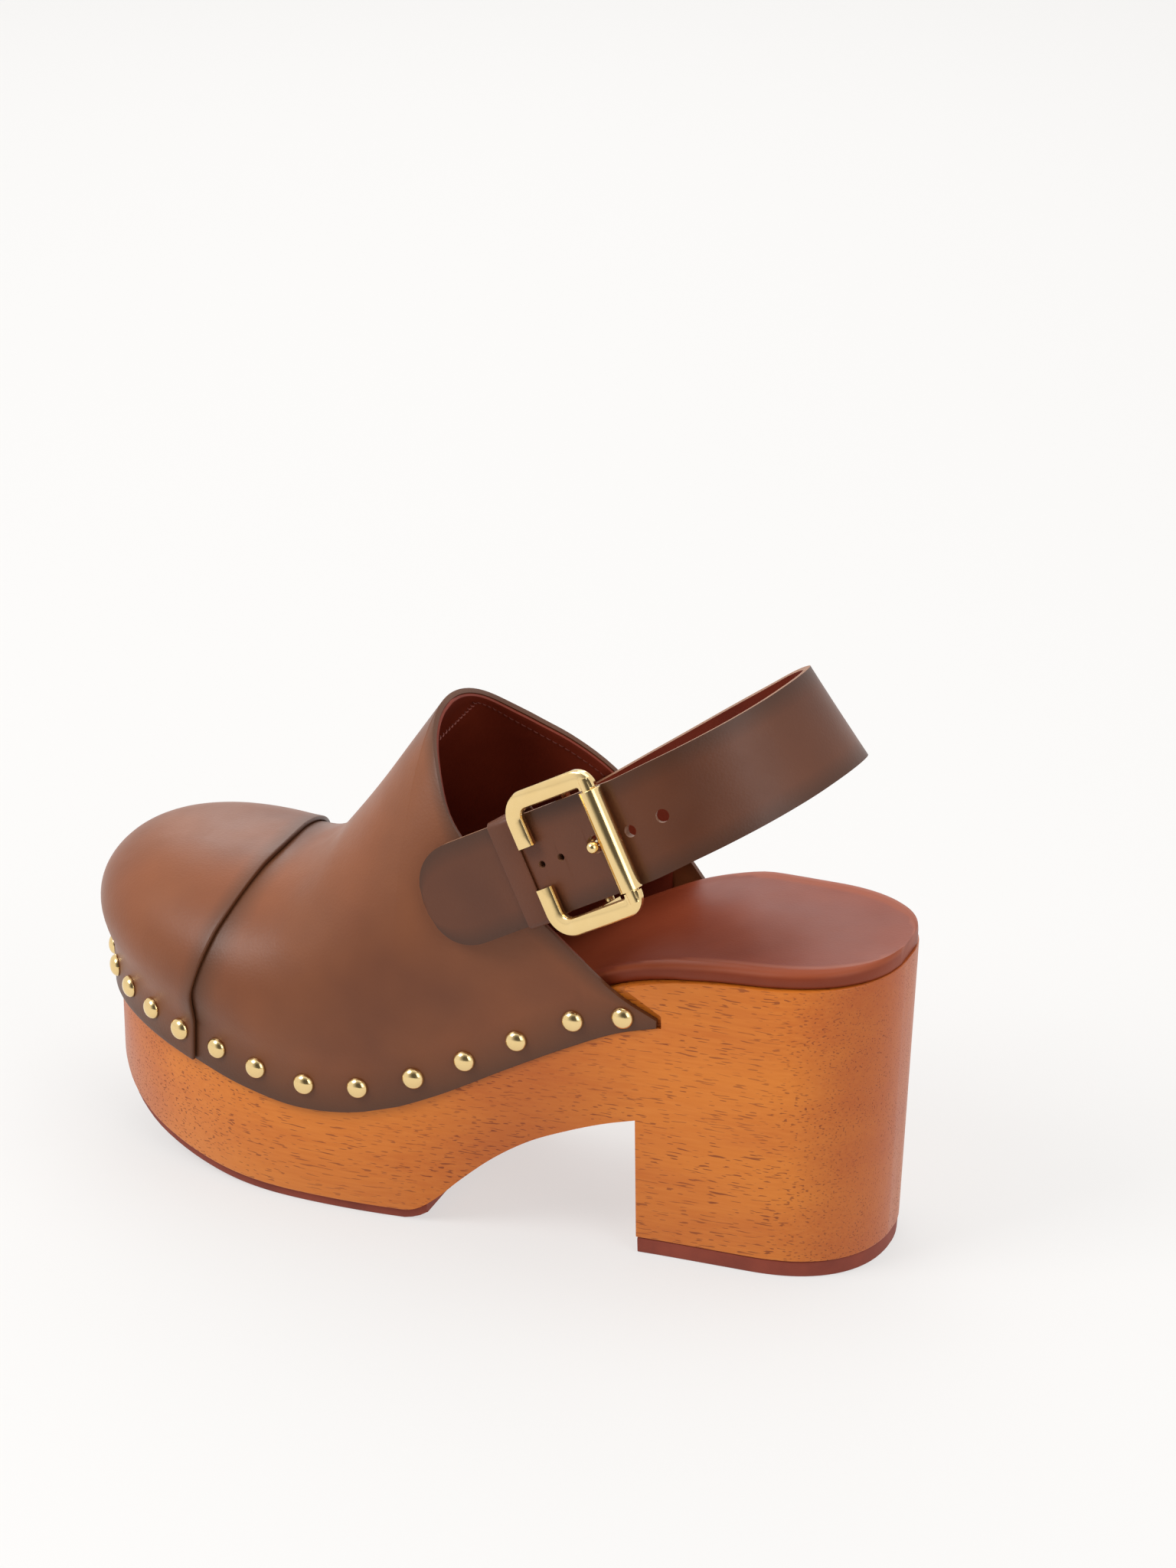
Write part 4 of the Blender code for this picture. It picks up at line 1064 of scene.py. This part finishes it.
def stitch(length, radius):
    """One stitch lying along X with its ends turned down."""
    bm = bmesh.new()
    rings = []
    for k in range(9):
        s = k / 8
        x = (s - 0.5) * length
        z = radius * 0.9 - (2 * s - 1) ** 4 * radius * 1.9
        r = radius * (0.75 + 0.25 * math.sin(math.pi * s))
        rings.append([bm.verts.new((x * MM, r * math.cos(a) * MM, (z + r * math.sin(a)) * MM))
                      for a in (2 * math.pi * i / 8 for i in range(8))])
    for low, high in zip(rings, rings[1:]):
        for i in range(8):
            j = (i + 1) % 8
            bm.faces.new((low[i], low[j], high[j], high[i]))
    bm.faces.new(rings[0][::-1])
    bm.faces.new(rings[-1])
    bmesh.ops.recalc_face_normals(bm, faces=bm.faces)
    return loose_shape("stitch", bm)


def spaced(points, pitch):
    """Places every pitch along a polyline of (point, direction out) pairs."""
    places = []
    walked = 0.0
    for (p, n), (q, m) in zip(points, points[1:]):
        step = (q - p).length
        while walked <= step:
            s = walked / max(step, 1e-6)
            places.append((p.lerp(q, s), n.lerp(m, s).normalized(), (q - p).normalized()))
            walked += pitch
        walked -= step
    return places


seam_points = []
for side, xs in ((-1, [30 - 1.25 * i for i in range(40)]), (1, [-18.7 + 1.25 * i for i in range(40)])):
    for x in xs:
        if x < THROAT_X + 0.3 or x > 31:
            continue
        t = max(rib_t(x, side, table(OUTER_TOPLINE if side < 0 else INNER_TOPLINE, x) - 4.2), 0.02)
        normal = upper_normal(x, side, t)
        seam_points.append((Vector(upper_point(x, side, t) + normal * -1.0), Vector(-normal)))
collar_seam = scatter("collar_stitches", spaced(seam_points, 2.1), stitch(1.7, 0.2), red_thread)
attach(collar_seam, "clog")

# ---------------------------------------------------------------------------------------------
# Box stitches: a small dark diamond on the inner side of the foot, which holds the strap's inner end between
# vamp and lining.

thread, coords, plug = new_material("thread", Roughness=0.6)
plug("Base Color", mixed(coords.noise(900, 2.0), srgb(52, 32, 22), srgb(70, 44, 30)))

box_points = []
box_corners = [(17.3, 114.4), (23.3, 106.3), (13.7, 99.2), (7.7, 107.3), (17.3, 114.4)]
for (x0, z0), (x1, z1) in zip(box_corners, box_corners[1:]):
    for k in range(6):
        x, z = x0 + (x1 - x0) * k / 6, z0 + (z1 - z0) * k / 6
        t = rib_t(x, 1, z)
        normal = upper_normal(x, 1, t)
        box_points.append((Vector(upper_point(x, 1, t) + normal * 1.62), Vector(normal)))
box_points.append(box_points[0])
box_seam = scatter("box_stitches", spaced(box_points, 2.4), stitch(1.9, 0.26), thread)
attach(box_seam, "clog")

# ---------------------------------------------------------------------------------------------
# Setting: a pale seamless floor under large soft lights. The camera looks down a little on the outer side,
# turned towards the heel.

floor_material, coords, plug = new_material(
    "floor", Roughness=0.9, Specular_IOR_Level=0.0, Emission_Strength=0.6,
    Emission_Color=(1.0, 0.992, 0.98, 1))
plug("Base Color", mixed(coords.noise(2.0, 2.0), (0.25, 0.247, 0.243, 1), (0.255, 0.252, 0.248, 1)))
floor_mesh = bpy.data.meshes.new("floor")
floor_mesh.from_pydata([(-6, -6, 0), (6, -6, 0), (6, 6, 0), (-6, 6, 0)], [], [(0, 1, 2, 3)])
floor_mesh.materials.append(floor_material)
floor = bpy.data.objects.new("floor", floor_mesh)
scene.collection.objects.link(floor)

world = bpy.data.worlds.new("studio")
world.use_nodes = True
scene.world = world
sky = world.node_tree
background = sky.nodes["Background"]
background.inputs["Strength"].default_value = 0.95
direction = Value(sky, sky.nodes.new("ShaderNodeTexCoord").outputs["Generated"])
dark_side = direction.node("ShaderNodeVectorMath", {"operation": "DOT_PRODUCT"},
                           {0: direction, 1: (0.3, -0.88, 0.36)}, output=1)
shade = mixed(dark_side.ramp(0.62, 0.95), (1.0, 0.99, 0.98, 1), (0.12, 0.115, 0.11, 1))
sky.links.new(shade.socket, background.inputs["Color"])


def softbox(name, place, target, size_x, size_y, power):
    light = bpy.data.lights.new(name, "AREA")
    light.shape = "RECTANGLE"
    light.size, light.size_y = size_x, size_y
    light.energy = power
    obj = bpy.data.objects.new(name, light)
    obj.location = place
    obj.rotation_euler = (Vector(target) - Vector(place)).to_track_quat("-Z", "Y").to_euler()
    scene.collection.objects.link(obj)


softbox("key", (-0.75, -0.75, 1.15), (0, 0, 0.08), 0.7, 0.7, 11.5)
softbox("fill", (1.1, -0.7, 0.7), (0, 0, 0.08), 0.6, 0.9, 4.5)
softbox("top", (0.1, 0.35, 1.3), (0, 0, 0.05), 1.2, 0.8, 5.0)
softbox("back", (-0.5, 1.1, 0.7), (0, 0, 0.1), 0.9, 0.5, 3.0)

camera_data = bpy.data.cameras.new("camera")
camera_data.lens = 123.0
camera_data.sensor_width = 36.0
camera = bpy.data.objects.new("camera", camera_data)
turn, lift, far = math.radians(22.07), math.radians(25.16), 1.523
aim_at = (Vector((22.16, 0, 130.27)) + CENTRE_MOVE) * MM
camera.location = aim_at + Vector((math.sin(turn) * math.cos(lift), -math.cos(turn) * math.cos(lift),
                                   math.sin(lift))) * far
camera.rotation_euler = (aim_at - camera.location).to_track_quat("-Z", "Y").to_euler()
scene.collection.objects.link(camera)
scene.camera = camera
scene.render.resolution_x = 1536
scene.render.resolution_y = 2048
scene.view_settings.view_transform = "Standard"
scene.view_settings.look = "None"
